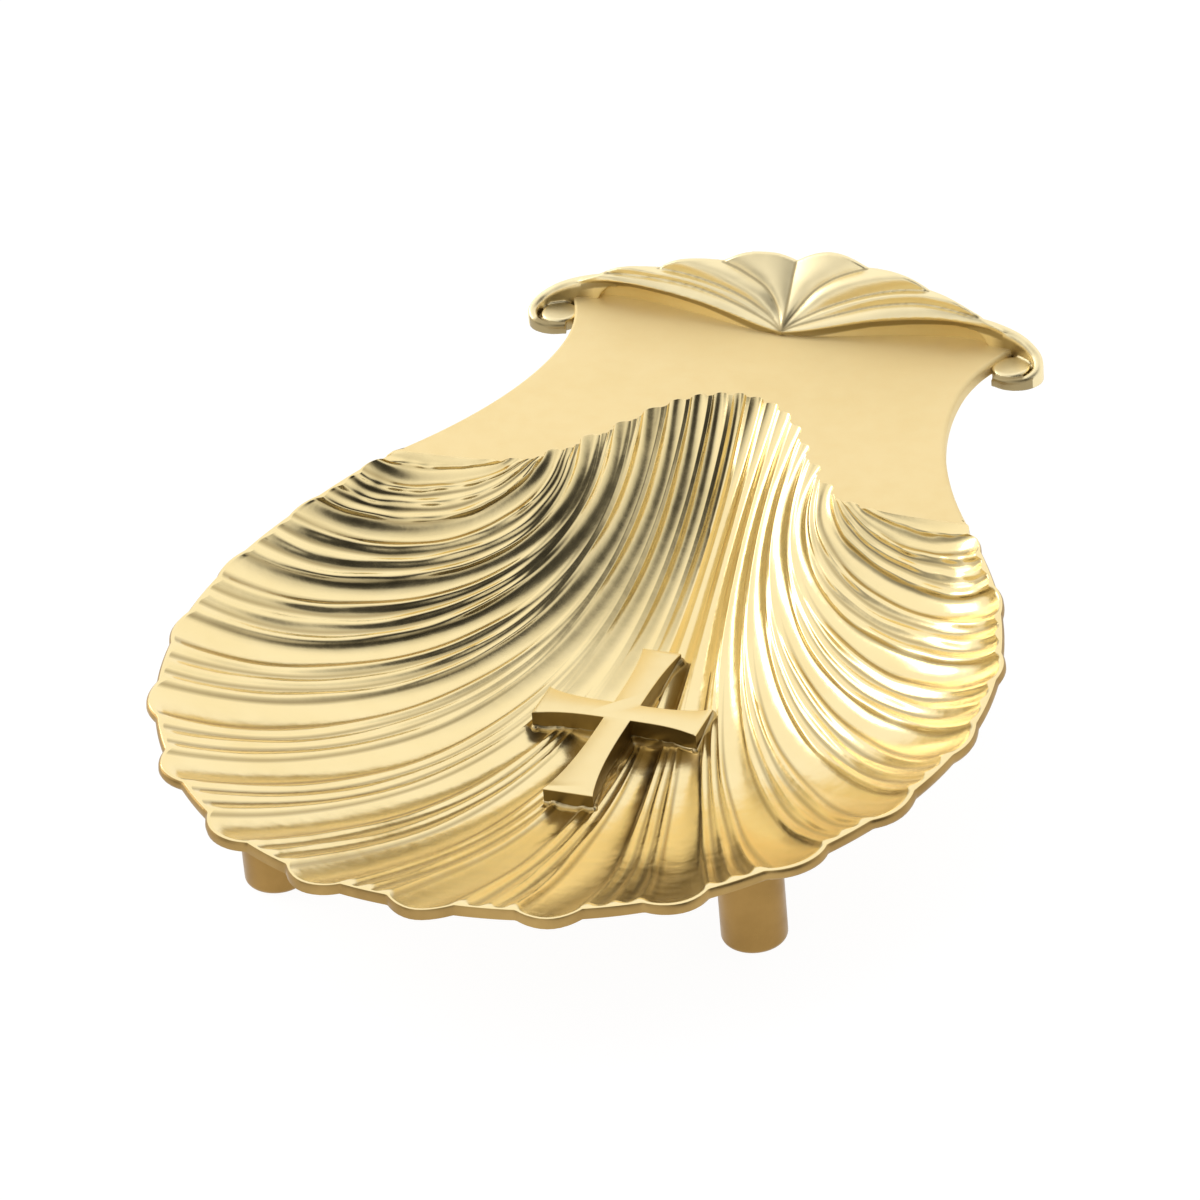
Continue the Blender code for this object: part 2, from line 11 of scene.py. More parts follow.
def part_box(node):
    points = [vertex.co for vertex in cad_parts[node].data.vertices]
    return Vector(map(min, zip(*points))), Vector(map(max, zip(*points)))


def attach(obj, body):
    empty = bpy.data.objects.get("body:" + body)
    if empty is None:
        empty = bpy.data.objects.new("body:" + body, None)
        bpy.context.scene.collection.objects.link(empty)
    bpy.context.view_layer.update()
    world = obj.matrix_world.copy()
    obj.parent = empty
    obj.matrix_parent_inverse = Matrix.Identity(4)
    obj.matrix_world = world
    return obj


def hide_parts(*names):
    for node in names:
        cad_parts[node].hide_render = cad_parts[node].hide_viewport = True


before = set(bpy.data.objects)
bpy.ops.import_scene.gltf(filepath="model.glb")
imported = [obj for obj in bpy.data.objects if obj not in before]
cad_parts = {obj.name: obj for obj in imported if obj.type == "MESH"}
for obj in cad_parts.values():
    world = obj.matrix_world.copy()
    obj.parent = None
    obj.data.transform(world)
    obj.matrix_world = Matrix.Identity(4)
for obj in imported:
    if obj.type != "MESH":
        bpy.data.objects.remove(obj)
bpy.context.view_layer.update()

# All lengths are metres. While a piece is made, y = 0 is the apex of the crest, the front is toward
# -y and z = 0 is the top of the neck plate. "placed" then moves its points into the frame.
MM = 0.001
# Vertex attribute of painted shade: darker gold beside the bowl's ridges, in the crest's creases and
# undercuts, on the cross's walls and up the solder, where shade falls
PAINTED_SHADE_NAME = "painted_shade"
TINY = 1e-12

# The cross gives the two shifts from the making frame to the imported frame.
CROSS_TOP_END_Y = -53.2 * MM
APEX_SHIFT = Vector((0.0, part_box("cross")[1].y - CROSS_TOP_END_Y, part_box("shell_casting")[1].z))

# Bowl. Tables run from the centre line (first value) to the shoulder (last value), and a pair is
# the value on the centre line and its change at the shoulder.
FLUTES = 17
FLUTE_PITCH = 2.0 / FLUTES
ACROSS = np.array([0, 1, 2, 3, 4, 5, 6, 7, 8, 8.5]) * FLUTE_PITCH
BELL_X = np.array([0, 2.75, 5.5, 8.1, 10.8, 13.5, 16.6, 20.0, 24.6, 27.5]) * MM
BELL_Y = np.array([-18.0, -18.5, -19.7, -21.8, -25.0, -29.4, -33.9, -38.4, -41.8, -42.4]) * MM
RIM_RADIUS = 53.4 * MM
RIM_CENTRE_Y = -83.5 * MM
RIM_ANGLE = np.radians([0, 17.6, 35.2, 52.3, 69.2, 87.0, 103.9, 118.8, 130.6, 134.2])
RIM_GROWTH = np.array([1.0, 1.0, 1.004, 1.011, 1.019, 1.028, 1.041, 1.056, 1.067, 1.079])
RIM_DROP = np.array([5.4, 5.7, 5.6, 4.9, 4.4, 4.2, 3.6, 2.4, 0.4, 0.0]) * MM
BOWL_DEPTH = 21.6 * MM
DEPTH_POWER = 1.75
PROFILE_RISE = (0.90, 0.18)
PROFILE_FALL = (0.60, 1.32)
RIB_START_REACH = 0.355
RIB_END_REACH = (0.40, -0.12)
RIB_START_TURN = -0.37
RIB_END_TURN = (0.614, -0.055)
SIDE_STARTS = 0.72
SIDE_STRAIGHTNESS = 0.85
WALL = 2.3 * MM
UPRIGHT_STARTS = 0.35
UPRIGHT_ENDS = 0.80

# Ribs. A flute is a wide trough, and three fine ridges stand between two flutes. In the throat the
# flutes are narrow and meet at one ridge.
FULL_PITCH = 16.8 * MM
FLUTE_DEPTH = 0.46 * MM
FLUTE_DEPTH_POWER = 0.22
RIM_FLUTE_DEPTH = 0.85 * MM
SIDE_RIM_FLUTE_DEPTH = 0.42 * MM
ARCH_FLUTE_DEPTH = 0.55 * MM
ARCH_DEEPENS_WITHIN = 0.10
RIM_DEEPENS_FROM = 0.72
FLUTE_HALF = 0.265
SIDE_FLUTE_HALF = 0.21
THROAT_FLUTE_HALF = 0.40
RIDGE_HEIGHT = 0.17 * MM
SIDE_RIDGE_HEIGHT = 0.40 * MM
RIM_RIDGE_HEIGHT = 0.36 * MM
RIDGES_RISE_FROM = 0.30
RIDGES_FULL_AT = 0.70
# Ridges, lines of painted shade beside them, and the columns of the mesh, as shares of the pitch from
# the middle of a flute
RIDGE_MIDDLE = 0.5
RIDGE_PLACE = 0.30
SIDE_RIDGE_PLACE = 0.245
RIDGE_WIDTH = 0.045
SIDE_RIDGE_WIDTH = 0.068
RIDGES_NEAR = 0.15
GROOVE_BEFORE = 0.075
GROOVE_WIDTH = 0.035
SIDE_GROOVE_WIDTH = 0.045
TRIPLE_STARTS = 3.6 * MM
TRIPLE_FULL = 7.5 * MM
RIB_LEVEL = 0.45
RIB_SIDE_FADE = 0.45
ARCH_SLIDE = 0.06
RIM_SLIDE = 0.70
LEAST_SLOPE = 0.38
UNDER_SMOOTH_PITCH = 6.0 * MM
RIDGE_COLUMNS = 16
FLUTE_COLUMNS = 6
BOWL_ROWS = 112
UNDER_ROW_STEP = 7
ROW_CROWDING = 1.35
# Hand chasing: sideways wander of the ribs and swell of the ridges, as (share, across, along, start)
RIB_WANDER = ((0.016, 23.0, 7.0, 1.3), (0.012, 41.0, -11.0, 0.4), (0.006, 97.0, 23.0, 2.2))
RIDGE_SWELL = ((0.16, 57.0, 13.0, 0.7), (0.14, 31.0, -29.0, 1.9), (0.10, 131.0, 41.0, 0.2))

# Rim lip: rings as (share of its width, rise), and its width from the front round to the shoulder
LIP_RINGS = ((0.22, 0.06 * MM), (0.62, 0.02 * MM), (0.92, -0.26 * MM), (1.0, -0.85 * MM))
LIP_PLACES = np.array([0.0, 0.12, 0.35, 0.6, 0.85, 1.0])
LIP_WIDTHS = np.array([0.55, 0.6, 1.0, 0.85, 0.6, 0.4]) * MM
LIP_SMOOTHING = 9
LIP_SIDE_FADE = 0.8
SHADED_CAST_LIP_RINGS = 3
RIM_WALL = 1.5 * MM
RIM_THINS_FROM = 0.75

# Neck plate. Its edge lists (outward, upward) steps from the top face to the outer side.
PLATE_EDGE = np.array([(0.20, -0.04), (0.42, -0.20), (0.50, -0.50), (0.50, -1.80)]) * MM
PLATE_EDGE_INSET = 0.50 * MM
WAIST_HALF_WIDTH = 29.4 * MM
WAIST_Y = -10.0 * MM
WAIST_POWER = 1.9
NECK_STEPS = 28
BACK_X = np.array([0.0, 10.0, 20.0, 28.0, 32.6]) * MM
BACK_Y = np.array([7.0, 6.3, 5.3, 4.4, 2.4]) * MM

# Crest. Creases run from the apex to the outer edge, from the middle one outward. The last two are
# the front ridge of the arm and the line where its undercut meets the plate.
CREST_APEX = (0.0, -1.5, 0.75)
CREASES = (
    ((0.0, 1.7, 3.25), (0.0, 4.2, 5.7), (0.0, 6.2, 7.5)),
    ((1.0, 0.9, 2.0), (3.6, 3.3, 4.7), (5.8, 4.3, 5.8), (8.0, 5.0, 6.6), (10.7, 5.6, 7.3)),
    ((1.4, 0.0, 1.3), (5.4, 1.8, 3.0), (11.0, 3.2, 4.65), (16.9, 4.05, 5.6), (20.0, 4.2, 5.75)),
    ((2.0, -0.3, 1.15), (4.3, 0.5, 1.75), (7.8, 1.45, 2.65), (13.3, 2.6, 3.9), (18.3, 3.1, 4.5),
     (23.0, 3.1, 4.5), (27.6, 2.8, 4.2)),
    ((1.2, -1.35, 0.8), (4.2, -0.9, 1.25), (6.8, -0.3, 1.67), (12.4, 0.6, 2.77), (18.0, 1.4, 3.35),
     (24.0, 1.9, 3.6), (29.3, 2.3, 2.95), (32.3, 2.4, 2.0)),
    ((0.6, -1.5, -0.3), (3.0, -1.1, -0.3), (9.0, 0.5, -0.3), (16.6, 2.5, -0.3), (23.4, 3.8, -0.3),
     (32.0, 3.4, -0.3)),
)
# The fan leans a little: its right petals stand higher and its left ones lower.
LEAN_X = np.array([0.0, 5.0, 12.0, 20.0, 28.0]) * MM
LEAN_RISE = np.array([0.0, 0.6, 0.8, 0.8, 0.0]) * MM
LEAN_FULL_Z = 6.0 * MM
BACK_PAST_UNDERCUT = 0.7 * MM
LOBE_BULGE = (0.09, 0.15, 0.16, 0.09, -0.10)
LOBE_SCALLOP = np.array([1.5, 1.2, 0.5, 0.0, 0.0]) * MM
LOBE_COLUMNS = (18, 16, 14, 10, 6)
LOBE_ROUNDS_FROM = 0.6
CREST_ROWS = 48
CREST_BACK = np.array([(0.55, 0.05), (1.05, -0.45), (1.30, -1.30)]) * MM
CREST_FOOT_Z = -0.40 * MM
CREST_VOXEL = 0.17 * MM
CREST_SMOOTHING = 2
# Painted shade: a band below the ridge of each arm, and lines along the creases of the fan
UNDERCUT_SHADE = 0.4 * MM
UNDERCUT_BAND = 1.15 * MM
CREASE_SHADE = 0.28 * MM
CREASE_STEPS = 400
SHADED_CREASES = 4

# Scroll at the end of each arm: a flat disc beside the plate, with the arm curled round it.
# The path lists (x, y, top height, width) from the arm inward.
SCROLL_CENTRE = (33.4 * MM, -0.9 * MM)
SCROLL_RADIUS = 2.65 * MM
SCROLL_TOP_Z = -0.7 * MM
SCROLL_LOW_Z = -2.6 * MM
SCROLL_EDGE = 0.25 * MM
SCROLL_PATH = np.array([
    (26.0, 3.6, 3.7, 1.2), (29.0, 3.4, 3.4, 1.6), (31.5, 3.2, 2.8, 1.7), (33.2, 2.8, 2.35, 1.65),
    (34.9, 2.0, 1.8, 1.6), (36.8, 0.5, 0.7, 1.5), (37.3, -1.4, -0.1, 1.4), (36.3, -3.1, -0.7, 1.3),
    (34.0, -3.9, -0.95, 1.2), (31.6, -3.3, -1.1, 1.1),
]) * MM
SCROLL_HOVER_Z = 1.9 * MM
SCROLL_DROPS_FROM = 27.0 * MM
SCROLL_DROPS_TO = 31.3 * MM
SCROLL_STEPS = 60
BAND_ROUNDING = 9
# Painted shade of the scroll: low in its hollow, and on the inner side of the outward part of its
# band
SCROLL_HOLLOW_RADIUS = 4.4 * MM
SCROLL_HOLLOW_Z = -0.9 * MM
SCROLL_OUTWARD_POINTS = 6
SCROLL_BACK_FROM = 28.6 * MM
SCROLL_BACK_TO = 36.4 * MM
SCROLL_BACK_BELOW = 0.7 * MM
SCROLL_BACK_INSET = 0.3 * MM
SCROLL_SHADE_FADE = 0.6 * MM
SCROLL_SHADE_GROWS = 3.0 * MM
# Web: low floor that ties the scroll to the corner of the plate
WEB_OUTLINE = np.array([(30.0, 3.6), (34.4, 2.0), (36.6, 0.4), (36.6, -1.5), (33.4, -2.0),
                        (30.6, -1.0)]) * MM
WEB_TOP_Z = -1.7 * MM

# Cross and its solder
CROSS_CENTRE_Y = -68.5 * MM
CROSS_TOP_REACH = 15.3 * MM
CROSS_FOOT_REACH = 20.2 * MM
CROSS_ARM_REACH = 11.7 * MM
CROSS_WAIST = 1.9 * MM
CROSS_TOP_FLARE = 2.75 * MM
CROSS_FOOT_FLARE = 3.5 * MM
CROSS_ARM_FLARE = 3.3 * MM
CROSS_FLARE_POWER = 3.0
CROSS_ARM_STEPS = 16
CROSS_SIDE_HEIGHT = 2.5 * MM
CROSS_EDGE = 0.16 * MM
CROSS_EDGE_BEND = 0.3
SOLDER_SEED = 7
SOLDER_VOXEL = 0.13 * MM
SOLDER_BEADS = 480
BEAD_DIVISIONS = 2
SOLDER_LUMPS = 60
SOLDER_BEAD_RADIUS = 0.50 * MM
SOLDER_UNEVENNESS = 0.45
SOLDER_INSET = 0.22 * MM
SOLDER_STACK = 0.40 * MM
SOLDER_SKIRT_RADIUS = 0.34 * MM
# Rise above the bowl at which the solder takes its full painted shade
SOLDER_SHADE_RISE = 0.9 * MM
SOLDER_SMOOTHING = 8

# Feet, and the bosses of the casting above them
FOOT_RADIUS = 4.35 * MM
FOOT_ROUNDING = 1.0 * MM
FOOT_ROUND_STEPS = 9
FOOT_TOP_EDGE = 0.02 * MM
ROUND_SIDES = 96
FEET = ("front_left", "front_right", "rear")
BOSS_RADIUS = 4.349 * MM
BOSS_FILLET = 0.02 * MM
BOSS_SINK = 0.05 * MM
BOSS_SHARE_IN_WALL = 0.4
BOSS_CAP_SHARES = (1.0, 0.66, 0.33)
PROBE_HEIGHT = 1.0

# Edges that bend by more degrees than these stay sharp.
SHELL_SHARP = 40
REMESH_SHARP = 60
CROSS_SHARP = 30
TURNED_SHARP = 40
REMESH_SOFTENING = 0.5

# Finishes of the shell, in the order of its materials; the last is a rough cast one, darker partly as
# painted shade
POLISHED, SATIN, CAST_AND_SHADED = range(3)

# Metals: colours, and finishes as (light colour, deep colour, roughness from and to, depth of the
# grain, share of painted shade in the recesses)
GOLD_LIGHT = (0.96, 0.79, 0.43, 1.0)
GOLD_DEEP = (0.93, 0.75, 0.385, 1.0)
# Dark gold that painted shade blends toward
GOLD_PAINTED_SHADE = (0.22, 0.15, 0.05, 1.0)
SATIN_LIGHT = (0.97, 0.805, 0.455, 1.0)
SATIN_DEEP = (0.955, 0.785, 0.43, 1.0)
CREST_LIGHT = (0.98, 0.84, 0.51, 1.0)
# Dark brown of the cast underside and outer lip: a rough cast finish, darker partly as painted shade
CAST_SHADED_LIGHT = (0.50, 0.33, 0.12, 1.0)
CAST_SHADED_DEEP = (0.34, 0.21, 0.07, 1.0)
FOOT_LIGHT = (0.40, 0.24, 0.075, 1.0)
FOOT_DEEP = (0.30, 0.175, 0.05, 1.0)
SOLDER_LIGHT = (0.80, 0.66, 0.38, 1.0)
SOLDER_DEEP = (0.45, 0.33, 0.15, 1.0)
FINISHES = {
    "gilt_polished": (GOLD_LIGHT, GOLD_DEEP, (0.13, 0.23), 0.03 * MM, 0.6),
    "gilt_satin": (SATIN_LIGHT, SATIN_DEEP, (0.60, 0.70), 0.02 * MM, 0.0),
    "gilt_as_cast_shaded": (CAST_SHADED_LIGHT, CAST_SHADED_DEEP, (0.34, 0.46), 0.05 * MM, 0.0),
    "gilt_crest": (CREST_LIGHT, CREST_LIGHT, (0.32, 0.42), 0.02 * MM, 0.75),
    "gilt_cross": (GOLD_LIGHT, GOLD_LIGHT, (0.32, 0.42), 0.02 * MM, 1.0),
    "solder_metal": (SOLDER_LIGHT, SOLDER_DEEP, (0.25, 0.45), 0.05 * MM, 0.9),
    "foot_metal": (FOOT_LIGHT, FOOT_DEEP, (0.26, 0.40), 0.03 * MM, 0.0),
    "fastener_metal": (FOOT_LIGHT, FOOT_DEEP, (0.30, 0.45), 0.03 * MM, 0.0),
}
# Noises, as (scale, detail, roughness), and how the metal uses them
CLOUD_NOISE = (90.0, 5.0, 0.55)
CLOUD_RANGE = (0.35, 0.70)
GLOSS_NOISE = (420.0, 6.0, 0.65)
GLOSS_RANGE = (0.3, 0.7)
GRAIN_NOISE = (1500.0, 4.0, 0.6)
GRAIN_STRENGTH = 0.35
SWELL_NOISE = (160.0, 2.0, 0.55)
SWELL_STRENGTH = 0.5
SWELL_DEPTH = 0.16 * MM
# Attribute values that map from no painted shade to its full share
PAINTED_SHADE_RANGE = (0.2, 1.0)

# Camera, as found from the photograph: the crest's apex lies at APEX_PIXEL of a 1200-pixel frame
CAMERA_AZIMUTH = math.radians(23.60)
CAMERA_ELEVATION = math.radians(31.80)
CAMERA_ROLL = math.radians(-5.17)
CAMERA_DISTANCE = 0.9758
FRAME_PIXELS = 1200
APEX_PIXEL = (784.6, 330.5)
LENS_MM = 210.0
SENSOR_MM = 36.0
CAMERA_CLIP = 0.05

# Room: each dark side has a direction, and stops as (cosine of the angle to it, share of the light)
DARK_SIDES = (
    ((0.507, -0.396, 0.766), ((-1.0, 1.0), (0.45, 1.0), (0.60, 0.95), (0.70, 0.82), (0.80, 0.70),
                              (0.88, 0.42), (0.93, 0.08), (1.0, 0.03))),
    ((-0.676, -0.676, 0.292), ((-1.0, 1.0), (0.88, 1.0), (0.93, 0.78), (0.97, 0.40), (1.0, 0.28))),
)
ROOM_STRENGTH = 1.06
PANEL_PLACE = (-0.86, 0.16, 0.44)
PANEL_SIZE = (0.60, 0.30)
PANEL_WATTS = 1.7
FLOOR_HALF = 3.0
FLOOR_COLOUR = (0.9, 0.9, 0.9, 1.0)
FLOOR_ROUGHNESS = 0.9
FLOOR_GLOW = 1.1
FLOOR_GLOW_SHARE = 0.86


def ease(t):
    t = np.clip(t, 0, 1)
    return t * t * (3 - 2 * t)


def between(first, second, share):
    return first + (second - first) * share


def unit(vectors):
    return vectors / np.maximum(np.linalg.norm(vectors, axis=-1, keepdims=True), TINY)


def smooth_curve(places, values, at):
    """Cubic curve through table values, with slopes taken from their neighbours."""
    slopes = np.gradient(values, places, axis=0)
    low = np.clip(np.searchsorted(places, at) - 1, 0, len(places) - 2)
    span = places[low + 1] - places[low]
    t = (at - places[low]) / span
    if values.ndim > 1:
        span = span[..., None]
        t = t[..., None]
    from_low = values[low] * (1 + 2 * t) + slopes[low] * span * t
    from_high = values[low + 1] * (3 - 2 * t) - slopes[low + 1] * span * (1 - t)
    return from_low * (1 - t) ** 2 + from_high * t**2


def mirrored_curve(values, at, odd=False):
    """Smooth curve through a half table mirrored about the centre line."""
    places = np.concatenate([-ACROSS[:0:-1], ACROSS])
    both = np.concatenate([(-1 if odd else 1) * values[:0:-1], values])
    return smooth_curve(places, both, at)


def path_through(points, count):
    """Points evenly stepped along a smooth curve through a list of points."""
    steps = np.linalg.norm(np.diff(points, axis=0), axis=1)
    places = np.concatenate([[0.0], np.cumsum(steps)])
    return smooth_curve(places, points, np.linspace(0, places[-1], count))


def placed(points):
    return np.asarray(points, float).reshape(-1, 3) + np.array(APEX_SHIFT)


def new_mesh_object(name, vertices, faces, recalculate=True):
    mesh = bpy.data.meshes.new(name)
    mesh.from_pydata(np.asarray(vertices, float).tolist(), [], faces)
    if recalculate:
        shape = bmesh.new()
        shape.from_mesh(mesh)
        bmesh.ops.recalc_face_normals(shape, faces=shape.faces[:])
        shape.to_mesh(mesh)
        shape.free()
    made = bpy.data.objects.new(name, mesh)
    bpy.context.scene.collection.objects.link(made)
    return made


def shade_smooth(piece, sharp_angle):
    piece.data.shade_smooth()
    piece.data.set_sharp_from_angle(angle=math.radians(sharp_angle))


def remeshed(piece, voxel, smoothing):
    """Applies a voxel remesh, which joins overlapping bodies, and softens its steps."""
    remesh = piece.modifiers.new("join", "REMESH")
    remesh.mode = "VOXEL"
    remesh.voxel_size = voxel
    soften = piece.modifiers.new("soften", "SMOOTH")
    soften.factor = REMESH_SOFTENING
    soften.iterations = smoothing
    graph = bpy.context.evaluated_depsgraph_get()
    result = bpy.data.meshes.new_from_object(piece.evaluated_get(graph))
    piece.modifiers.clear()
    piece.data = result
    return piece


def vertex_places(piece):
    places = np.empty(3 * len(piece.data.vertices))
    piece.data.vertices.foreach_get("co", places)
    return places.reshape(-1, 3)


def store_painted_shade(piece, shade):
    """Stores how much painted shade each vertex takes, which the metals blend toward dark gold."""
    layer = piece.data.attributes.new(PAINTED_SHADE_NAME, "FLOAT", "POINT")
    layer.data.foreach_set("value", np.asarray(shade, np.float32))


def strip_faces(first, second, closed=False):
    """Quads between two lines of vertex numbers of equal length."""
    count = len(first) if closed else len(first) - 1
    faces = []
    for i in range(count):
        j = (i + 1) % len(first)
        faces.append((first[i], first[j], second[j], second[i]))
    return faces


def bowl_surface(u, v):
    """Bowl without ribs: u runs across it (-1 to 1), v from the plate (0) to the rim (1)."""
    spread = np.abs(u)
    bell = np.stack([mirrored_curve(BELL_X, u, odd=True), mirrored_curve(BELL_Y, u)], axis=-1)
    angle = mirrored_curve(RIM_ANGLE, u, odd=True)
    radius = RIM_RADIUS * mirrored_curve(RIM_GROWTH, u)
    rim = np.stack([radius * np.sin(angle), RIM_CENTRE_Y - radius * np.cos(angle)], axis=-1)
    chord = np.linalg.norm(rim - bell, axis=-1, keepdims=True)
    straight = SIDE_STRAIGHTNESS * ease((spread - SIDE_STARTS) / (1 - SIDE_STARTS))[..., None]
    along_chord = straight * (rim - bell) / chord
    leave = RIB_START_TURN * u
    arrive = (RIB_END_TURN[0] + RIB_END_TURN[1] * spread) * angle
    end_reach = (RIB_END_REACH[0] + RIB_END_REACH[1] * spread)[..., None] * chord
    leaving = along_chord + (1 - straight) * np.stack([np.sin(leave), -np.cos(leave)], axis=-1)
    arriving = along_chord + (1 - straight) * np.stack([np.sin(arrive), -np.cos(arrive)], axis=-1)
    first = bell + RIB_START_REACH * chord * leaving
    second = rim - end_reach * arriving
    w = v[..., None]
    plan = (1 - w) ** 3 * bell + 3 * w * (1 - w) ** 2 * first
    plan += 3 * w**2 * (1 - w) * second + w**3 * rim
    rise = PROFILE_RISE[0] + PROFILE_RISE[1] * spread
    fall = PROFILE_FALL[0] + PROFILE_FALL[1] * spread
    peak = (rise / (rise + fall)) ** (1 / fall)
    profile = v**rise * (1 - v**fall) / (peak**rise * (1 - peak**fall))
    depth = BOWL_DEPTH * (1 - spread**DEPTH_POWER)
    level = -mirrored_curve(RIM_DROP, u) * v - depth * profile
    return np.concatenate([plan, level[..., None]], axis=-1)


def rib_columns():
    """Values of u, close together on the ridges and further apart in the flutes."""
    ridge = np.linspace(RIDGES_NEAR, RIDGE_MIDDLE, RIDGE_COLUMNS + 1)
    flute = np.linspace(-RIDGES_NEAR, RIDGES_NEAR, FLUTE_COLUMNS + 1)
    phases = np.concatenate([-ridge[::-1], flute[1:-1], ridge])
    flutes = np.arange(FLUTES) - (FLUTES - 1) / 2
    columns = (flutes[:, None] + phases[None, :-1]).ravel()
    return np.append(columns, FLUTES / 2) * FLUTE_PITCH


def waves(terms, u, v):
    return sum(size * np.sin(across * u + along * v + start) for size, across, along, start in terms)


def rib_relief(u, v, pitch):
    """Height of the ribs, the same without the fine ridges, and the painted shade beside the ridges.
    """
    place = u / FLUTE_PITCH + waves(RIB_WANDER, u, v)
    phase = np.abs(place - np.round(place))
    triple = ease((pitch - TRIPLE_STARTS) / (TRIPLE_FULL - TRIPLE_STARTS))
    aside = ease((np.abs(u) - RIDGES_RISE_FROM) / (RIDGES_FULL_AT - RIDGES_RISE_FROM))
    half = between(THROAT_FLUTE_HALF, between(FLUTE_HALF, SIDE_FLUTE_HALF, aside), triple)
    trough = np.minimum((phase / half) ** 2 - 1, 0)
    outer = between(RIDGE_PLACE, SIDE_RIDGE_PLACE, aside)
    width = between(RIDGE_WIDTH, SIDE_RIDGE_WIDTH, aside)
    ridges = sum(np.exp(-(((phase - at) / width) ** 2)) for at in (outer, RIDGE_MIDDLE))
    size = pitch / FULL_PITCH
    fade = ease((1 - np.abs(u)) / (RIB_SIDE_FADE * FLUTE_PITCH))
    swell = 1 + waves(RIDGE_SWELL, u, v)
    at_rim = ease((v - RIM_DEEPENS_FROM) / (1 - RIM_DEEPENS_FROM))
    at_arch = 1 - ease(v / ARCH_DEEPENS_WITHIN)
    rim_depth = between(RIM_FLUTE_DEPTH, SIDE_RIM_FLUTE_DEPTH, aside)
    depth = FLUTE_DEPTH * size**FLUTE_DEPTH_POWER
    depth = depth + (rim_depth - depth) * at_rim + (ARCH_FLUTE_DEPTH - depth) * at_arch
    height = between(between(RIDGE_HEIGHT, SIDE_RIDGE_HEIGHT, aside), RIM_RIDGE_HEIGHT, at_rim)
    coarse = depth * (trough + RIB_LEVEL) * fade
    fine = height * triple * ridges * swell * fade
    # Painted shade: thin dark lines beside the ridges
    width = between(GROOVE_WIDTH, SIDE_GROOVE_WIDTH, aside)
    beside = (outer - GROOVE_BEFORE, (outer + RIDGE_MIDDLE) / 2)
    groove_shade = sum(np.exp(-(((phase - at) / width) ** 2)) for at in beside)
    return coarse + fine, coarse, groove_shade * triple * fade


def ribbed_bowl():
    """Top and underside grids of the bowl, the lip's line, and the painted shade beside the ridges of
    the top.
    """
    across = rib_columns()
    along = np.linspace(0, 1, BOWL_ROWS + 1) ** ROW_CROWDING
    v, u = np.meshgrid(along, across, indexing="ij")
    base = bowl_surface(u, v)
    tangent_across = np.gradient(base, across, axis=1)
    normals = unit(np.cross(np.gradient(base, along, axis=0), tangent_across))
    pitch = FLUTE_PITCH * np.linalg.norm(tangent_across, axis=-1)
    relief, coarse, groove_shade = rib_relief(u, v, pitch)
    # At the plate and the rim the ribs move points level, so that both edges keep their heights.
    level = normals * np.array([1.0, 1.0, 0.0])
    slope = np.linalg.norm(level, axis=-1, keepdims=True)
    slide = level / np.maximum(slope, TINY) / np.maximum(slope, LEAST_SLOPE)
    sliding = np.maximum(1 - ease(v / ARCH_SLIDE), ease((v - RIM_SLIDE) / (1 - RIM_SLIDE)))[..., None]
    push = (1 - sliding) * normals + sliding * slide
    top = base + relief[..., None] * push
    lip_line = (base + coarse[..., None] * push)[-1]
    # The wall is measured square to the bowl in the middle and straight down at the shallow sides.
    up = np.array([0.0, 0.0, 1.0])
    upright = ease((np.abs(u) - UPRIGHT_STARTS) / (UPRIGHT_ENDS - UPRIGHT_STARTS))[..., None]
    through = unit((1 - upright) * normals + upright * up)
    on_plate = np.zeros(u.shape, bool)
    on_plate[0, :] = on_plate[:, 0] = on_plate[:, -1] = True
    mitre = (through + up) / (1 + through @ up)[..., None]
    step = np.where(on_plate[..., None], mitre, through)
    keep = ease((pitch - UNDER_SMOOTH_PITCH) / (FULL_PITCH - UNDER_SMOOTH_PITCH))
    thins = ease((v - RIM_THINS_FROM) / (1 - RIM_THINS_FROM))
    wall = np.where(on_plate, WALL, between(WALL, RIM_WALL, thins))
    under = base + (coarse * keep)[..., None] * push - wall[..., None] * step
    return top, under[::UNDER_ROW_STEP], lip_line, groove_shade


def neck_outline(shoulder):
    """Free edge of the plate from the right shoulder round the back to the left shoulder."""
    corner_x, corner_y = BACK_X[-1], BACK_Y[-1]
    front = np.linspace(1, 0, NECK_STEPS + 1)[1:]
    back = np.linspace(0, 1, NECK_STEPS // 2)[1:]
    rear_x = np.linspace(corner_x, 0, NECK_STEPS)[1:]
    half = np.stack([
        np.concatenate([
            between(WAIST_HALF_WIDTH, shoulder[0], front**WAIST_POWER),
            between(WAIST_HALF_WIDTH, corner_x, back**2),
            rear_x,
        ]),
        np.concatenate([
            between(WAIST_Y, shoulder[1], front),
            between(WAIST_Y, corner_y, back),
            smooth_curve(BACK_X, BACK_Y, rear_x),
        ]),
    ], axis=1)
    return np.concatenate([half, half[-2::-1] * np.array([-1.0, 1.0])])


def outward_of(loop, smoothing):
    """Level unit vectors pointing out of a closed anticlockwise loop, smoothed along it."""
    ahead = np.roll(loop, -1, axis=0) - np.roll(loop, 1, axis=0)
    tangent = unit(ahead[:, :2])
    reach = range(-smoothing, smoothing + 1)
    tangent = unit(sum(np.roll(tangent, k, axis=0) for k in reach))
    return np.stack([tangent[:, 1], -tangent[:, 0], np.zeros(len(loop))], axis=1)


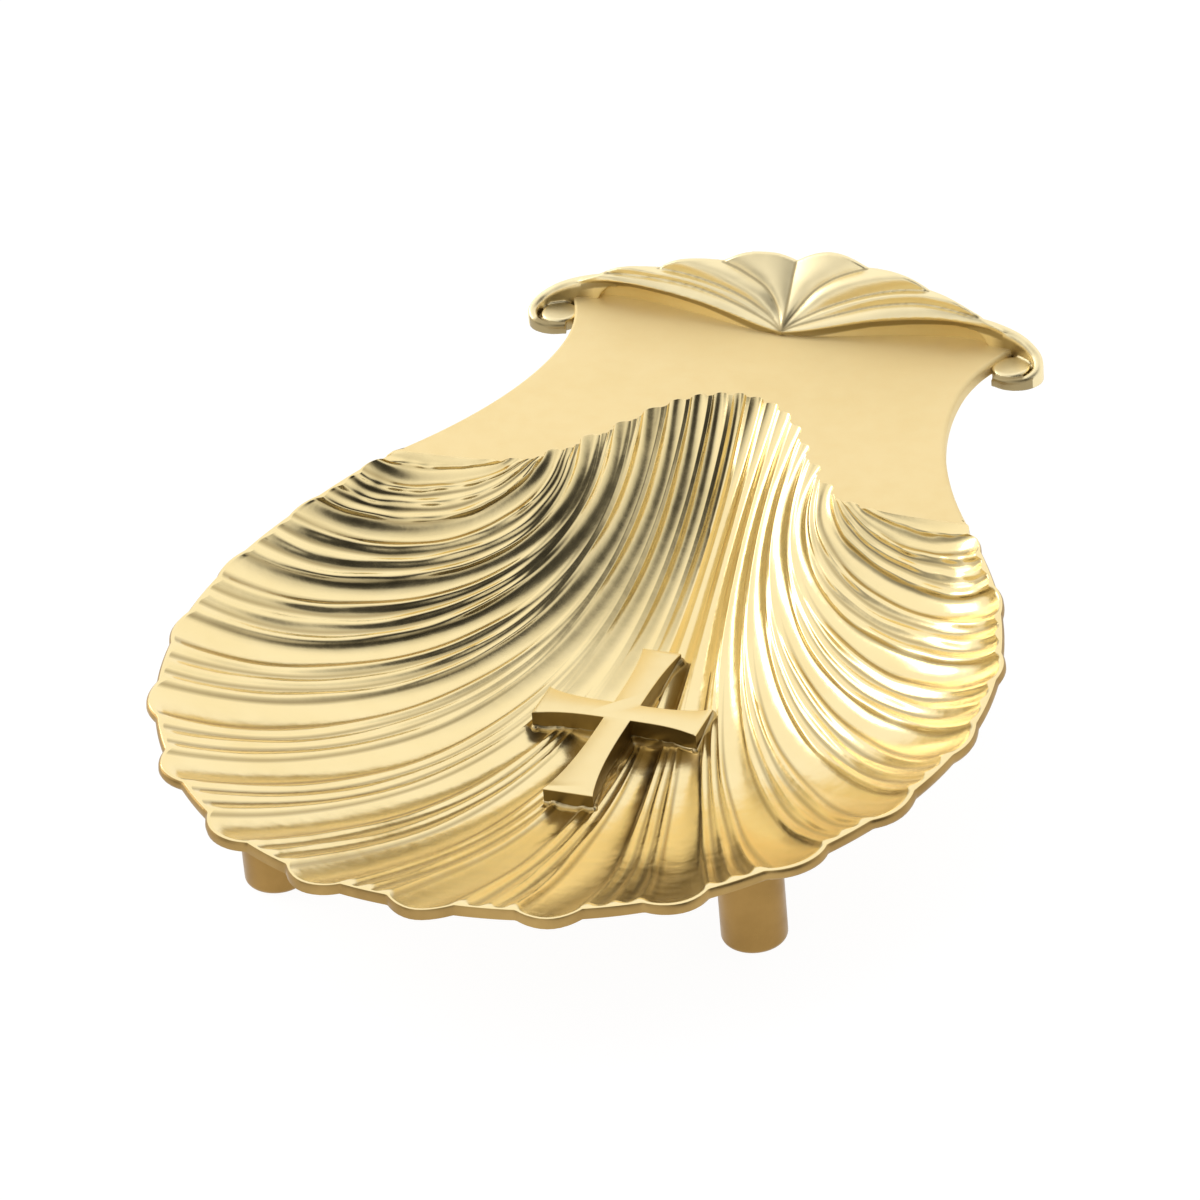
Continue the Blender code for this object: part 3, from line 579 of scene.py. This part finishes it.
def build_shell():
    top, under, lip_line, groove_shade = ribbed_bowl()
    rows, columns = top.shape[:2]
    under_rows = under.shape[0]
    vertices = [top.reshape(-1, 3), under.reshape(-1, 3)]
    upper = np.arange(rows * columns).reshape(rows, columns)
    lower = rows * columns + np.arange(under_rows * columns).reshape(under_rows, columns)
    count = (rows + under_rows) * columns

    # The outer edge is one loop: the rim, then the free edge of the neck plate.
    neck = neck_outline(top[-1, -1])
    neck = np.concatenate([neck, np.zeros((len(neck), 1))], axis=1)
    edge_loop = np.concatenate([lip_line, neck])
    outward = outward_of(edge_loop, LIP_SMOOTHING)
    spread = np.abs(rib_columns())
    on_rim = np.zeros(len(edge_loop))
    on_rim[:columns] = ease((1 - spread) / (LIP_SIDE_FADE * FLUTE_PITCH))
    lip_width = np.zeros(len(edge_loop))
    lip_width[:columns] = smooth_curve(LIP_PLACES, LIP_WIDTHS, spread)
    inset = PLATE_EDGE_INSET * (1 - on_rim)
    neck_top = (edge_loop - inset[:, None] * outward)[columns:]
    vertices.append(neck_top)
    neck_numbers = np.arange(count, count + len(neck))
    count += len(neck)
    ring = np.concatenate([upper[-1], neck_numbers])
    rings = [ring]
    for (lip_share, lip_rise), (plate_out, plate_up) in zip(LIP_RINGS, PLATE_EDGE):
        out = on_rim * lip_share * lip_width + (1 - on_rim) * (plate_out - PLATE_EDGE_INSET)
        rise = on_rim * lip_rise + (1 - on_rim) * plate_up
        shifted = edge_loop + out[:, None] * outward + rise[:, None] * np.array([0.0, 0.0, 1.0])
        vertices.append(shifted)
        rings.append(np.arange(count, count + len(shifted)))
        count += len(shifted)
    neck_under = neck - PLATE_EDGE_INSET * outward[columns:] - np.array([0.0, 0.0, WALL])
    vertices.append(neck_under)
    rings.append(np.concatenate([lower[-1], np.arange(count, count + len(neck))]))
    neck_under_numbers = np.arange(count, count + len(neck))

    faces = []
    for row in range(rows - 1):
        faces += strip_faces(upper[row], upper[row + 1])
    for row in range(under_rows - 1):
        faces += strip_faces(lower[row + 1], lower[row])
    bowl_faces = len(faces)
    for first, second in zip(rings, rings[1:]):
        faces += strip_faces(first, second, closed=True)
    for grid, free_edge in ((upper, neck_numbers), (lower, neck_under_numbers)):
        sides = [grid[:0:-1, 0], grid[0, :], grid[1:, -1], free_edge]
        faces.append(tuple(np.concatenate(sides)))
    shell = new_mesh_object("shell_casting_gilt", placed(np.concatenate(vertices)),
                            [tuple(map(int, face)) for face in faces])
    shade_smooth(shell, SHELL_SHARP)
    plate = shell.data.polygons[len(faces) - 2]
    plate_edges = set(plate.edge_keys)
    for edge in shell.data.edges:
        if tuple(sorted(edge.vertices)) in plate_edges:
            edge.use_edge_sharp = True
    finish = np.full(len(faces), POLISHED, np.int32)
    # The underside takes the cast finish, darker partly as painted shade
    finish[(rows - 1) * (columns - 1):bowl_faces] = CAST_AND_SHADED
    finish[len(faces) - 2:] = (SATIN, CAST_AND_SHADED)
    edge_starts = range(bowl_faces, len(faces) - 2, len(ring))
    for start in edge_starts:
        finish[start + columns - 1:start + len(ring)] = SATIN
    # The outer rings of the lip take the cast finish too, darker partly as painted shade
    for start in edge_starts[-SHADED_CAST_LIP_RINGS:]:
        finish[start:start + columns - 1] = CAST_AND_SHADED
    shell.data.polygons.foreach_set("material_index", finish)
    # Painted shade in thin lines beside the ridges of the top
    shade = np.zeros(len(shell.data.vertices))
    shade[columns:rows * columns] = groove_shade[1:].ravel()
    store_painted_shade(shell, shade)
    return shell


def crest_half():
    """Grid of one half of the crest: rows from the apex outward, columns from the middle crease."""
    along = np.linspace(0, 1, CREST_ROWS + 1)
    creases = []
    for points in CREASES:
        creases.append(path_through(np.array((CREST_APEX,) + points) * MM, CREST_ROWS + 1))
    parts = []
    for lobe, columns in enumerate(LOBE_COLUMNS):
        s = np.linspace(0, 1, columns + 1)
        first, second = creases[lobe], creases[lobe + 1]
        patch = (1 - s)[None, :, None] * first[:, None, :] + s[None, :, None] * second[:, None, :]
        crown = np.sin(math.pi * s)[None, :, None]
        width = np.linalg.norm(second - first, axis=1)[:, None, None]
        radial = unit(np.gradient(patch, axis=0))
        facing = unit(np.cross(np.gradient(patch, axis=1), radial))
        patch = patch + LOBE_BULGE[lobe] * width * crown * facing
        rounding = ease((along - LOBE_ROUNDS_FROM) / (1 - LOBE_ROUNDS_FROM))[:, None, None]
        patch = patch + LOBE_SCALLOP[lobe] * crown * rounding * radial
        parts.append(patch if lobe == 0 else patch[:, 1:])
    return np.concatenate(parts, axis=1)


def leaned(points):
    """Points of the fan raised on the right and lowered on the left."""
    lean = np.interp(np.abs(points[..., 0]), LEAN_X, LEAN_RISE) * np.sign(points[..., 0])
    rise = lean * np.clip(points[..., 2] / LEAN_FULL_Z, 0, 1) ** 2
    return points + rise[..., None] * np.array([0.0, 0.0, 1.0])


def build_crest_fan():
    """Closed body of the fan and both arms, standing on the plate."""
    right = crest_half()
    left = right[:, :0:-1] * np.array([-1.0, 1.0, 1.0])
    face = leaned(np.concatenate([left, right], axis=1)[1:])
    rows, columns = face.shape[:2]
    levels = [face.reshape(-1, 3)]
    outer = face[-1]
    for back, rise in CREST_BACK:
        level = outer + np.array([0.0, back, rise])
        level[:, 2] = np.maximum(level[:, 2], CREST_FOOT_Z / 2)
        levels.append(level)
    undercut = np.array(CREASES[-1]) * MM
    inside = np.interp(np.abs(outer[:, 0]), undercut[:, 0], undercut[:, 1])
    levels[-1][:, 1] = np.maximum(levels[-1][:, 1], inside + BACK_PAST_UNDERCUT)
    foot = levels[-1].copy()
    foot[:, 2] = CREST_FOOT_Z
    levels.append(foot)
    vertices = np.concatenate([np.array([CREST_APEX]) * MM] + levels)
    grid = 1 + np.arange((rows + len(CREST_BACK) + 1) * columns).reshape(-1, columns)
    faces = [(0, int(grid[0, i]), int(grid[0, i + 1])) for i in range(columns - 1)]
    for first, second in zip(grid, grid[1:]):
        faces += strip_faces(first.tolist(), second.tolist())
    ends = [[0], grid[:, 0], grid[-1, 1:-1], grid[::-1, -1]]
    faces.append(tuple(int(i) for i in np.concatenate(ends)))
    return vertices, faces


def lofted(rings):
    """Closed body through rings of points, with a flat face at each end."""
    vertices = np.concatenate(rings)
    grid = np.arange(len(vertices)).reshape(len(rings), -1)
    faces = []
    for first, second in zip(grid, grid[1:]):
        faces += strip_faces(first.tolist(), second.tolist(), closed=True)
    faces.append(tuple(grid[0].tolist()))
    faces.append(tuple(grid[-1].tolist()))
    return vertices, faces


def scroll_band(side):
    """Wall with a rounded top along the path of the scroll."""
    path = path_through(SCROLL_PATH, SCROLL_STEPS)
    tangent = unit(np.gradient(path[:, :2], axis=0))
    across = np.stack([-tangent[:, 1], tangent[:, 0]], axis=1)
    turn = np.linspace(0, math.pi, BAND_ROUNDING)
    rings = []
    for (x, y, top, width), aside in zip(path, across):
        drop = ease((x - SCROLL_DROPS_FROM) / (SCROLL_DROPS_TO - SCROLL_DROPS_FROM))
        low = between(SCROLL_HOVER_Z, SCROLL_LOW_Z, drop)
        half = width / 2
        offsets = np.concatenate([[half], half * np.cos(turn), [-half]])
        heights = np.concatenate([[low], top - half + half * np.sin(turn), [low]])
        rings.append(np.stack([
            side * (x + offsets * aside[0]),
            y + offsets * aside[1],
            heights,
        ], axis=1))
    return lofted(rings)


def scroll_web(side):
    """Low floor that ties the scroll's disc and band to the corner of the plate."""
    rings = []
    for z in (SCROLL_LOW_Z, WEB_TOP_Z):
        ring = np.column_stack([WEB_OUTLINE, np.full(len(WEB_OUTLINE), z)])
        rings.append(ring * np.array([side, 1.0, 1.0]))
    return lofted(rings)


def circle(centre, radius, height):
    angles = np.linspace(0, 2 * math.pi, ROUND_SIDES, endpoint=False)
    x = centre[0] + radius * np.cos(angles)
    y = centre[1] + radius * np.sin(angles)
    return np.stack([x, y, np.full(ROUND_SIDES, height)], axis=1)


def turned_profile(profile, centre):
    """Closed solid of revolution about an upright axis, from (radius, height) pairs."""
    return lofted([circle(centre, radius, height) for radius, height in profile])


def joined(bodies):
    """Vertices and faces of several bodies in one list."""
    vertices = []
    faces = []
    start = 0
    for points, polygons in bodies:
        vertices.append(points)
        faces += [tuple(start + i for i in polygon) for polygon in polygons]
        start += len(points)
    return np.concatenate(vertices), faces


def build_crest():
    bodies = [build_crest_fan()]
    disc = [
        (SCROLL_RADIUS, SCROLL_LOW_Z),
        (SCROLL_RADIUS, SCROLL_TOP_Z - SCROLL_EDGE),
        (SCROLL_RADIUS - SCROLL_EDGE, SCROLL_TOP_Z),
    ]
    for side in (-1, 1):
        bodies.append(scroll_band(side))
        bodies.append(scroll_web(side))
        bodies.append(turned_profile(disc, (side * SCROLL_CENTRE[0], SCROLL_CENTRE[1])))
    vertices, faces = joined(bodies)
    crest = new_mesh_object("crest_casting_gilt", placed(vertices), faces)
    remeshed(crest, CREST_VOXEL, CREST_SMOOTHING)
    shade_smooth(crest, REMESH_SHARP)
    # Painted shade of the crest's undercuts, scroll hollows and creases
    store_painted_shade(crest, crest_painted_shade(vertex_places(crest) - np.array(APEX_SHIFT)))
    return crest


def under_arm_shade(places, aside):
    """Painted shade in a band a little below the ridge of each arm, on its front side."""
    ridge, undercut = (np.array((CREST_APEX,) + CREASES[k]) * MM for k in (-2, -1))
    below = np.interp(aside, ridge[:, 0], ridge[:, 2]) - places[:, 2]
    ahead = places[:, 1] < np.interp(aside, undercut[:, 0], undercut[:, 1]) + BACK_PAST_UNDERCUT / 2
    shade = ease(below / UNDERCUT_SHADE) * ease(1 - (below - UNDERCUT_BAND) / UNDERCUT_SHADE)
    return shade * ahead * (aside < SCROLL_DROPS_TO)


def scroll_shade(places, aside):
    """Painted shade on the low parts of the scroll's hollow, and on the inner side of its band."""
    from_scroll = np.hypot(aside - SCROLL_CENTRE[0], places[:, 1] - SCROLL_CENTRE[1])
    in_hollow = (from_scroll < SCROLL_HOLLOW_RADIUS) & (places[:, 2] < SCROLL_HOLLOW_Z)
    on_disc = (from_scroll < SCROLL_RADIUS) & (np.abs(places[:, 2] - SCROLL_TOP_Z) < SCROLL_EDGE)
    outward = SCROLL_PATH[:SCROLL_OUTWARD_POINTS]
    band_y, band_top = (np.interp(aside, outward[:, 0], outward[:, k]) for k in (1, 2))
    inner = ease((aside - SCROLL_BACK_FROM) / SCROLL_SHADE_GROWS)
    inner *= ease((band_y - SCROLL_BACK_INSET - places[:, 1]) / SCROLL_SHADE_FADE)
    inner *= ease((band_top - SCROLL_BACK_BELOW - places[:, 2]) / SCROLL_SHADE_FADE)
    inner *= ease((SCROLL_BACK_TO - aside) / SCROLL_SHADE_FADE) * ~on_disc
    return np.maximum(in_hollow, inner)


def crease_shade(places):
    """Painted shade in thin lines along the creases of the fan."""
    creases = KDTree(2 * SHADED_CREASES * CREASE_STEPS)
    for points in CREASES[:SHADED_CREASES]:
        line = path_through(np.array((CREST_APEX,) + points) * MM, CREASE_STEPS)
        for side in (-1, 1):
            for place in leaned(line * np.array([side, 1.0, 1.0])):
                creases.insert(place, 0)
    creases.balance()
    distance = np.array([creases.find(place)[2] for place in places])
    return np.exp(-((distance / CREASE_SHADE) ** 2))


def crest_painted_shade(places):
    """Painted shade of the crest, from 0 to 1."""
    aside = np.abs(places[:, 0])
    shades = [under_arm_shade(places, aside), scroll_shade(places, aside), crease_shade(places)]
    return np.max(shades, axis=0)


def cross_outline(grow=0.0):
    """Outline of the cross, anticlockwise from above, with concave flares toward each end."""
    shares = np.linspace(0, 1, CROSS_ARM_STEPS + 1)

    def arm(reach, flare):
        out = between(CROSS_WAIST, reach, shares)
        half = between(CROSS_WAIST, flare, shares**CROSS_FLARE_POWER)
        return out, half

    foot_out, foot_half = arm(CROSS_FOOT_REACH, CROSS_FOOT_FLARE)
    side_out, side_half = arm(CROSS_ARM_REACH, CROSS_ARM_FLARE)
    head_out, head_half = arm(CROSS_TOP_REACH, CROSS_TOP_FLARE)
    right = np.concatenate([
        np.stack([foot_half, -foot_out], axis=1)[::-1],
        np.stack([side_out, -side_half], axis=1)[1:],
        np.stack([side_out, side_half], axis=1)[::-1],
        np.stack([head_half, head_out], axis=1)[1:],
    ])
    loop = np.concatenate([right, right[::-1] * np.array([-1.0, 1.0])])
    if grow:
        flat = np.concatenate([loop, np.zeros((len(loop), 1))], axis=1)
        loop = loop + grow * outward_of(flat, 0)[:, :2]
    return loop + np.array([0.0, CROSS_CENTRE_Y])


def build_cross(top_z):
    bend = CROSS_EDGE_BEND * CROSS_EDGE
    rings = []
    for grow, z in ((0.0, top_z - CROSS_SIDE_HEIGHT), (0.0, top_z - CROSS_EDGE),
                    (-bend, top_z - bend), (-CROSS_EDGE, top_z)):
        loop = cross_outline(grow)
        rings.append(np.concatenate([loop, np.full((len(loop), 1), z)], axis=1))
    vertices, faces = lofted(rings)
    cross = new_mesh_object("cross_gilt", placed(vertices), faces)
    shade_smooth(cross, CROSS_SHARP)
    # Painted shade: the two lower rings of the side walls are fully dark, the top is not
    store_painted_shade(cross, np.repeat([1.0, 1.0, 0.0, 0.0], len(rings[0])))
    return cross


class HeightProbe:
    """Heights of a mesh seen straight down or up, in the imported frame."""

    def __init__(self, piece):
        self.tree = BVHTree.FromPolygons(
            [vertex.co for vertex in piece.data.vertices],
            [polygon.vertices for polygon in piece.data.polygons],
        )

    def floor(self, x, y):
        return self.tree.ray_cast(Vector((x, y, PROBE_HEIGHT)), Vector((0, 0, -1)))[0].z

    def underside(self, x, y):
        return self.tree.ray_cast(Vector((x, y, -PROBE_HEIGHT)), Vector((0, 0, 1)))[0].z


def unit_ball():
    """Points and triangles of a ball of radius one."""
    shape = bmesh.new()
    bmesh.ops.create_icosphere(shape, subdivisions=BEAD_DIVISIONS, radius=1.0)
    points = np.array([vertex.co for vertex in shape.verts])
    triangles = [tuple(vertex.index for vertex in face.verts) for face in shape.faces]
    shape.free()
    return points, triangles


def build_solder(probe, under_cross):
    """Irregular skirt of beads from the bowl up to the edges of the cross, joined into one body."""
    draw = np.random.default_rng(SOLDER_SEED)
    outline = cross_outline(-SOLDER_INSET)
    loop = np.concatenate([outline, outline[:1]])
    loop = np.concatenate([loop, np.zeros((len(loop), 1))], axis=1)
    steps = np.concatenate([[0.0], np.cumsum(np.linalg.norm(np.diff(loop, axis=0), axis=1))])
    places = np.linspace(0, steps[-1], SOLDER_BEADS, endpoint=False)
    spots = np.stack([np.interp(places, steps, loop[:, k]) for k in range(3)], axis=1)
    lumps = draw.uniform(1 - SOLDER_UNEVENNESS, 1 + SOLDER_UNEVENNESS, SOLDER_LUMPS)
    swell = np.interp(np.linspace(0, SOLDER_LUMPS, SOLDER_BEADS), np.arange(SOLDER_LUMPS), lumps)
    ball, ball_faces = unit_ball()
    beads = []
    for (x, y, _), radius in zip(placed(spots), SOLDER_BEAD_RADIUS * swell):
        floor = probe.floor(x, y)
        beads.append((np.array((x, y, floor)) + radius * ball, ball_faces))
        for z in np.arange(floor + SOLDER_STACK, under_cross, SOLDER_STACK):
            beads.append((np.array((x, y, z)) + SOLDER_SKIRT_RADIUS * ball, ball_faces))
    solder = new_mesh_object("cross_solder_beads", *joined(beads), recalculate=False)
    remeshed(solder, SOLDER_VOXEL, SOLDER_SMOOTHING)
    shade_smooth(solder, REMESH_SHARP)
    # Painted shade: dark up under the cross, pale where the beads meet the bowl
    rise = [z - probe.floor(x, y) for x, y, z in vertex_places(solder)]
    store_painted_shade(solder, ease(np.array(rise) / SOLDER_SHADE_RISE))
    return solder


def build_foot(name):
    low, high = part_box("foot_" + name)
    centre = ((low.x + high.x) / 2, (low.y + high.y) / 2)
    turn = np.linspace(0, math.pi / 2, FOOT_ROUND_STEPS)
    profile = []
    for a in turn:
        radius = FOOT_RADIUS - FOOT_ROUNDING * (1 - math.sin(a))
        profile.append((radius, low.z + FOOT_ROUNDING * (1 - math.cos(a))))
    profile.append((FOOT_RADIUS, high.z - FOOT_TOP_EDGE))
    profile.append((FOOT_RADIUS - FOOT_TOP_EDGE, high.z))
    foot = new_mesh_object("foot_" + name + "_turned", *turned_profile(profile, centre))
    shade_smooth(foot, TURNED_SHARP)
    return foot


def build_boss(name, probe):
    """Boss of the casting above a foot, with its top buried in the wall."""
    low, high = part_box("foot_" + name)
    centre = ((low.x + high.x) / 2, (low.y + high.y) / 2)
    face = high.z - BOSS_SINK
    rings = [
        circle(centre, BOSS_RADIUS - BOSS_FILLET, face),
        circle(centre, BOSS_RADIUS, face + BOSS_FILLET),
    ]
    for share in BOSS_CAP_SHARES:
        ring = circle(centre, BOSS_RADIUS * share, face)
        ring[:, 2] = [probe.underside(x, y) + BOSS_SHARE_IN_WALL * WALL for x, y in ring[:, :2]]
        rings.append(ring)
    boss = new_mesh_object("shell_boss_" + name, *lofted(rings))
    shade_smooth(boss, TURNED_SHARP)
    return boss


class NodeBuilder:
    """Adds shader nodes to one material and links them by name."""

    def __init__(self, name):
        self.material = bpy.data.materials.new(name)
        self.material.use_nodes = True
        self.tree = self.material.node_tree
        self.shader = self.tree.nodes["Principled BSDF"]

    def add(self, kind, **values):
        node = self.tree.nodes.new(kind)
        for key, value in values.items():
            setattr(node, key, value)
        return node

    def link(self, source, target):
        self.tree.links.new(source, target)

    def noise(self, scale, detail, roughness):
        place = self.add("ShaderNodeTexCoord")
        node = self.add("ShaderNodeTexNoise")
        node.inputs["Scale"].default_value = scale
        node.inputs["Detail"].default_value = detail
        node.inputs["Roughness"].default_value = roughness
        self.link(place.outputs["Object"], node.inputs["Vector"])
        return node.outputs["Fac"]

    def spread(self, source, low_high, to_low=0.0, to_high=1.0):
        node = self.add("ShaderNodeMapRange")
        node.inputs["From Min"].default_value, node.inputs["From Max"].default_value = low_high
        node.inputs["To Min"].default_value = to_low
        node.inputs["To Max"].default_value = to_high
        self.link(source, node.inputs["Value"])
        return node.outputs["Result"]

    def blend(self, amount, first, second):
        node = self.add("ShaderNodeMix", data_type="RGBA")
        self.link(amount, node.inputs["Factor"])
        for socket, value in ((node.inputs["A"], first), (node.inputs["B"], second)):
            if isinstance(value, tuple):
                socket.default_value = value
            else:
                self.link(value, socket)
        return node.outputs["Result"]

    def bump(self, height, strength, distance):
        node = self.add("ShaderNodeBump")
        node.inputs["Strength"].default_value = strength
        node.inputs["Distance"].default_value = distance
        self.link(height, node.inputs["Height"])
        return node


def gilt(name, light, deep, roughness, grain_depth, shade_share):
    """Gilt metal: cloudy colour, uneven gloss, cast grain, and painted shade in the recesses."""
    made = NodeBuilder(name)
    clouds = made.spread(made.noise(*CLOUD_NOISE), CLOUD_RANGE)
    colour = made.blend(clouds, light, deep)
    # Painted shade: the vertex attribute blends the colour toward dark gold
    painted_shade = made.add("ShaderNodeAttribute", attribute_name=PAINTED_SHADE_NAME).outputs["Fac"]
    colour = made.blend(made.spread(painted_shade, PAINTED_SHADE_RANGE, 0.0, shade_share), colour, GOLD_PAINTED_SHADE)
    made.link(colour, made.shader.inputs["Base Color"])
    gloss = made.spread(made.noise(*GLOSS_NOISE), GLOSS_RANGE, *roughness)
    made.link(gloss, made.shader.inputs["Roughness"])
    made.shader.inputs["Metallic"].default_value = 1.0
    grain = made.bump(made.noise(*GRAIN_NOISE), GRAIN_STRENGTH, grain_depth)
    swell = made.bump(made.noise(*SWELL_NOISE), SWELL_STRENGTH, SWELL_DEPTH)
    made.link(grain.outputs["Normal"], swell.inputs["Normal"])
    made.link(swell.outputs["Normal"], made.shader.inputs["Normal"])
    return made.material


def white_floor():
    """Pale floor that the camera and reflections see as white, and that still takes shadow."""
    made = NodeBuilder("studio_floor")
    made.shader.inputs["Base Color"].default_value = FLOOR_COLOUR
    made.shader.inputs["Roughness"].default_value = FLOOR_ROUGHNESS
    glow = made.add("ShaderNodeEmission")
    glow.inputs["Strength"].default_value = FLOOR_GLOW
    path = made.add("ShaderNodeLightPath")
    seen = made.add("ShaderNodeMath", operation="MAXIMUM")
    made.link(path.outputs["Is Camera Ray"], seen.inputs[0])
    made.link(path.outputs["Is Glossy Ray"], seen.inputs[1])
    share = made.add("ShaderNodeMath", operation="MULTIPLY")
    share.inputs[1].default_value = FLOOR_GLOW_SHARE
    made.link(seen.outputs["Value"], share.inputs[0])
    mixed = made.add("ShaderNodeMixShader")
    made.link(share.outputs["Value"], mixed.inputs["Fac"])
    made.link(made.shader.outputs["BSDF"], mixed.inputs[1])
    made.link(glow.outputs["Emission"], mixed.inputs[2])
    output = made.tree.nodes["Material Output"]
    made.link(mixed.outputs["Shader"], output.inputs["Surface"])
    return made.material


def build_stage():
    half = FLOOR_HALF
    floor = new_mesh_object(
        "studio_floor",
        [(-half, -half, 0.0), (half, -half, 0.0), (half, half, 0.0), (-half, half, 0.0)],
        [(0, 1, 2, 3)],
    )
    floor.data.materials.append(white_floor())


def dark_side(tree, direction, place, stops):
    """Colour of the room where only one of its dark sides is counted."""
    toward = tree.nodes.new("ShaderNodeVectorMath")
    toward.operation = "DOT_PRODUCT"
    toward.inputs[1].default_value = place
    tree.links.new(direction, toward.inputs[0])
    share = tree.nodes.new("ShaderNodeMapRange")
    share.inputs["From Min"].default_value = -1.0
    tree.links.new(toward.outputs["Value"], share.inputs["Value"])
    ramp = tree.nodes.new("ShaderNodeValToRGB")
    elements = ramp.color_ramp.elements
    while len(elements) < len(stops):
        elements.new(0.5)
    for element, (cosine, level) in zip(elements, stops):
        element.position = (cosine + 1) / 2
        element.color = (level, level, level, 1.0)
    tree.links.new(share.outputs["Result"], ramp.inputs["Fac"])
    return ramp.outputs["Color"]


def build_world():
    """Bright room with two dark sides, which the polished bowl mirrors."""
    world = bpy.data.worlds.new("studio_room")
    bpy.context.scene.world = world
    world.use_nodes = True
    tree = world.node_tree
    background = tree.nodes["Background"]
    direction = tree.nodes.new("ShaderNodeTexCoord").outputs["Generated"]
    first, second = (dark_side(tree, direction, place, stops) for place, stops in DARK_SIDES)
    both = tree.nodes.new("ShaderNodeMix")
    both.data_type = "RGBA"
    both.blend_type = "MULTIPLY"
    both.inputs["Factor"].default_value = 1.0
    tree.links.new(first, both.inputs["A"])
    tree.links.new(second, both.inputs["B"])
    tree.links.new(both.outputs["Result"], background.inputs["Color"])
    background.inputs["Strength"].default_value = ROOM_STRENGTH


def build_panel():
    """Soft panel on the left, which gives the right wall of the bowl its highlights."""
    lamp = bpy.data.lights.new("left_panel", "AREA")
    lamp.shape = "RECTANGLE"
    lamp.size, lamp.size_y = PANEL_SIZE
    lamp.energy = PANEL_WATTS
    light = bpy.data.objects.new("left_panel", lamp)
    light.location = PANEL_PLACE
    light.rotation_euler = (-Vector(PANEL_PLACE)).to_track_quat("-Z", "Y").to_euler()
    bpy.context.scene.collection.objects.link(light)


def build_camera():
    sin_a, cos_a = math.sin(CAMERA_AZIMUTH), math.cos(CAMERA_AZIMUTH)
    sin_e, cos_e = math.sin(CAMERA_ELEVATION), math.cos(CAMERA_ELEVATION)
    back = Vector((sin_a * cos_e, -cos_a * cos_e, sin_e))
    level_right = Vector((cos_a, sin_a, 0.0))
    level_up = back.cross(level_right)
    turn = Matrix.Rotation(CAMERA_ROLL, 3, back)
    right, up = turn @ level_right, turn @ level_up
    focal_pixels = LENS_MM / SENSOR_MM * FRAME_PIXELS
    metres_per_pixel = CAMERA_DISTANCE / focal_pixels
    aside = (APEX_PIXEL[0] - FRAME_PIXELS / 2) * metres_per_pixel
    above = (FRAME_PIXELS / 2 - APEX_PIXEL[1]) * metres_per_pixel
    data = bpy.data.cameras.new("photo_camera")
    data.lens = LENS_MM
    data.sensor_width = SENSOR_MM
    data.clip_start = CAMERA_CLIP
    camera = bpy.data.objects.new("photo_camera", data)
    place = APEX_SHIFT - aside * right - above * up + CAMERA_DISTANCE * back
    axes = Matrix((right, up, back)).transposed().to_4x4()
    camera.matrix_world = Matrix.Translation(place) @ axes
    bpy.context.scene.collection.objects.link(camera)
    bpy.context.scene.camera = camera


def join_frame(piece, materials, node=None):
    """Sets the piece on its body, with its finish and the CAD node that it stands for."""
    for material in materials:
        piece.data.materials.append(material)
    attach(piece, "root")
    if node:
        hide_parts(node)


def main():
    bpy.context.scene.view_settings.view_transform = "Standard"
    metals = {name: gilt(name, *finish) for name, finish in FINISHES.items()}
    shell_metals = [metals["gilt_polished"], metals["gilt_satin"], metals["gilt_as_cast_shaded"]]
    foot_metal = metals["foot_metal"]

    shell = build_shell()
    probe = HeightProbe(shell)
    join_frame(shell, shell_metals, "shell_casting")
    join_frame(build_crest(), [metals["gilt_crest"]], "crest_casting")
    cross_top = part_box("cross")[1].z - APEX_SHIFT.z
    join_frame(build_cross(cross_top), [metals["gilt_cross"]], "cross")
    under_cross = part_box("cross")[1].z - CROSS_SIDE_HEIGHT
    solder = build_solder(probe, under_cross)
    join_frame(solder, [metals["solder_metal"]], "cross_solder")
    for name in FEET:
        join_frame(build_foot(name), [foot_metal], "foot_" + name)
        join_frame(build_boss(name, probe), [foot_metal])
    for name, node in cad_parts.items():
        if name.startswith(("stud_", "crest_rivet_")):
            node.data.materials.clear()
            node.data.materials.append(metals["fastener_metal"])

    build_stage()
    build_world()
    build_panel()
    build_camera()


main()
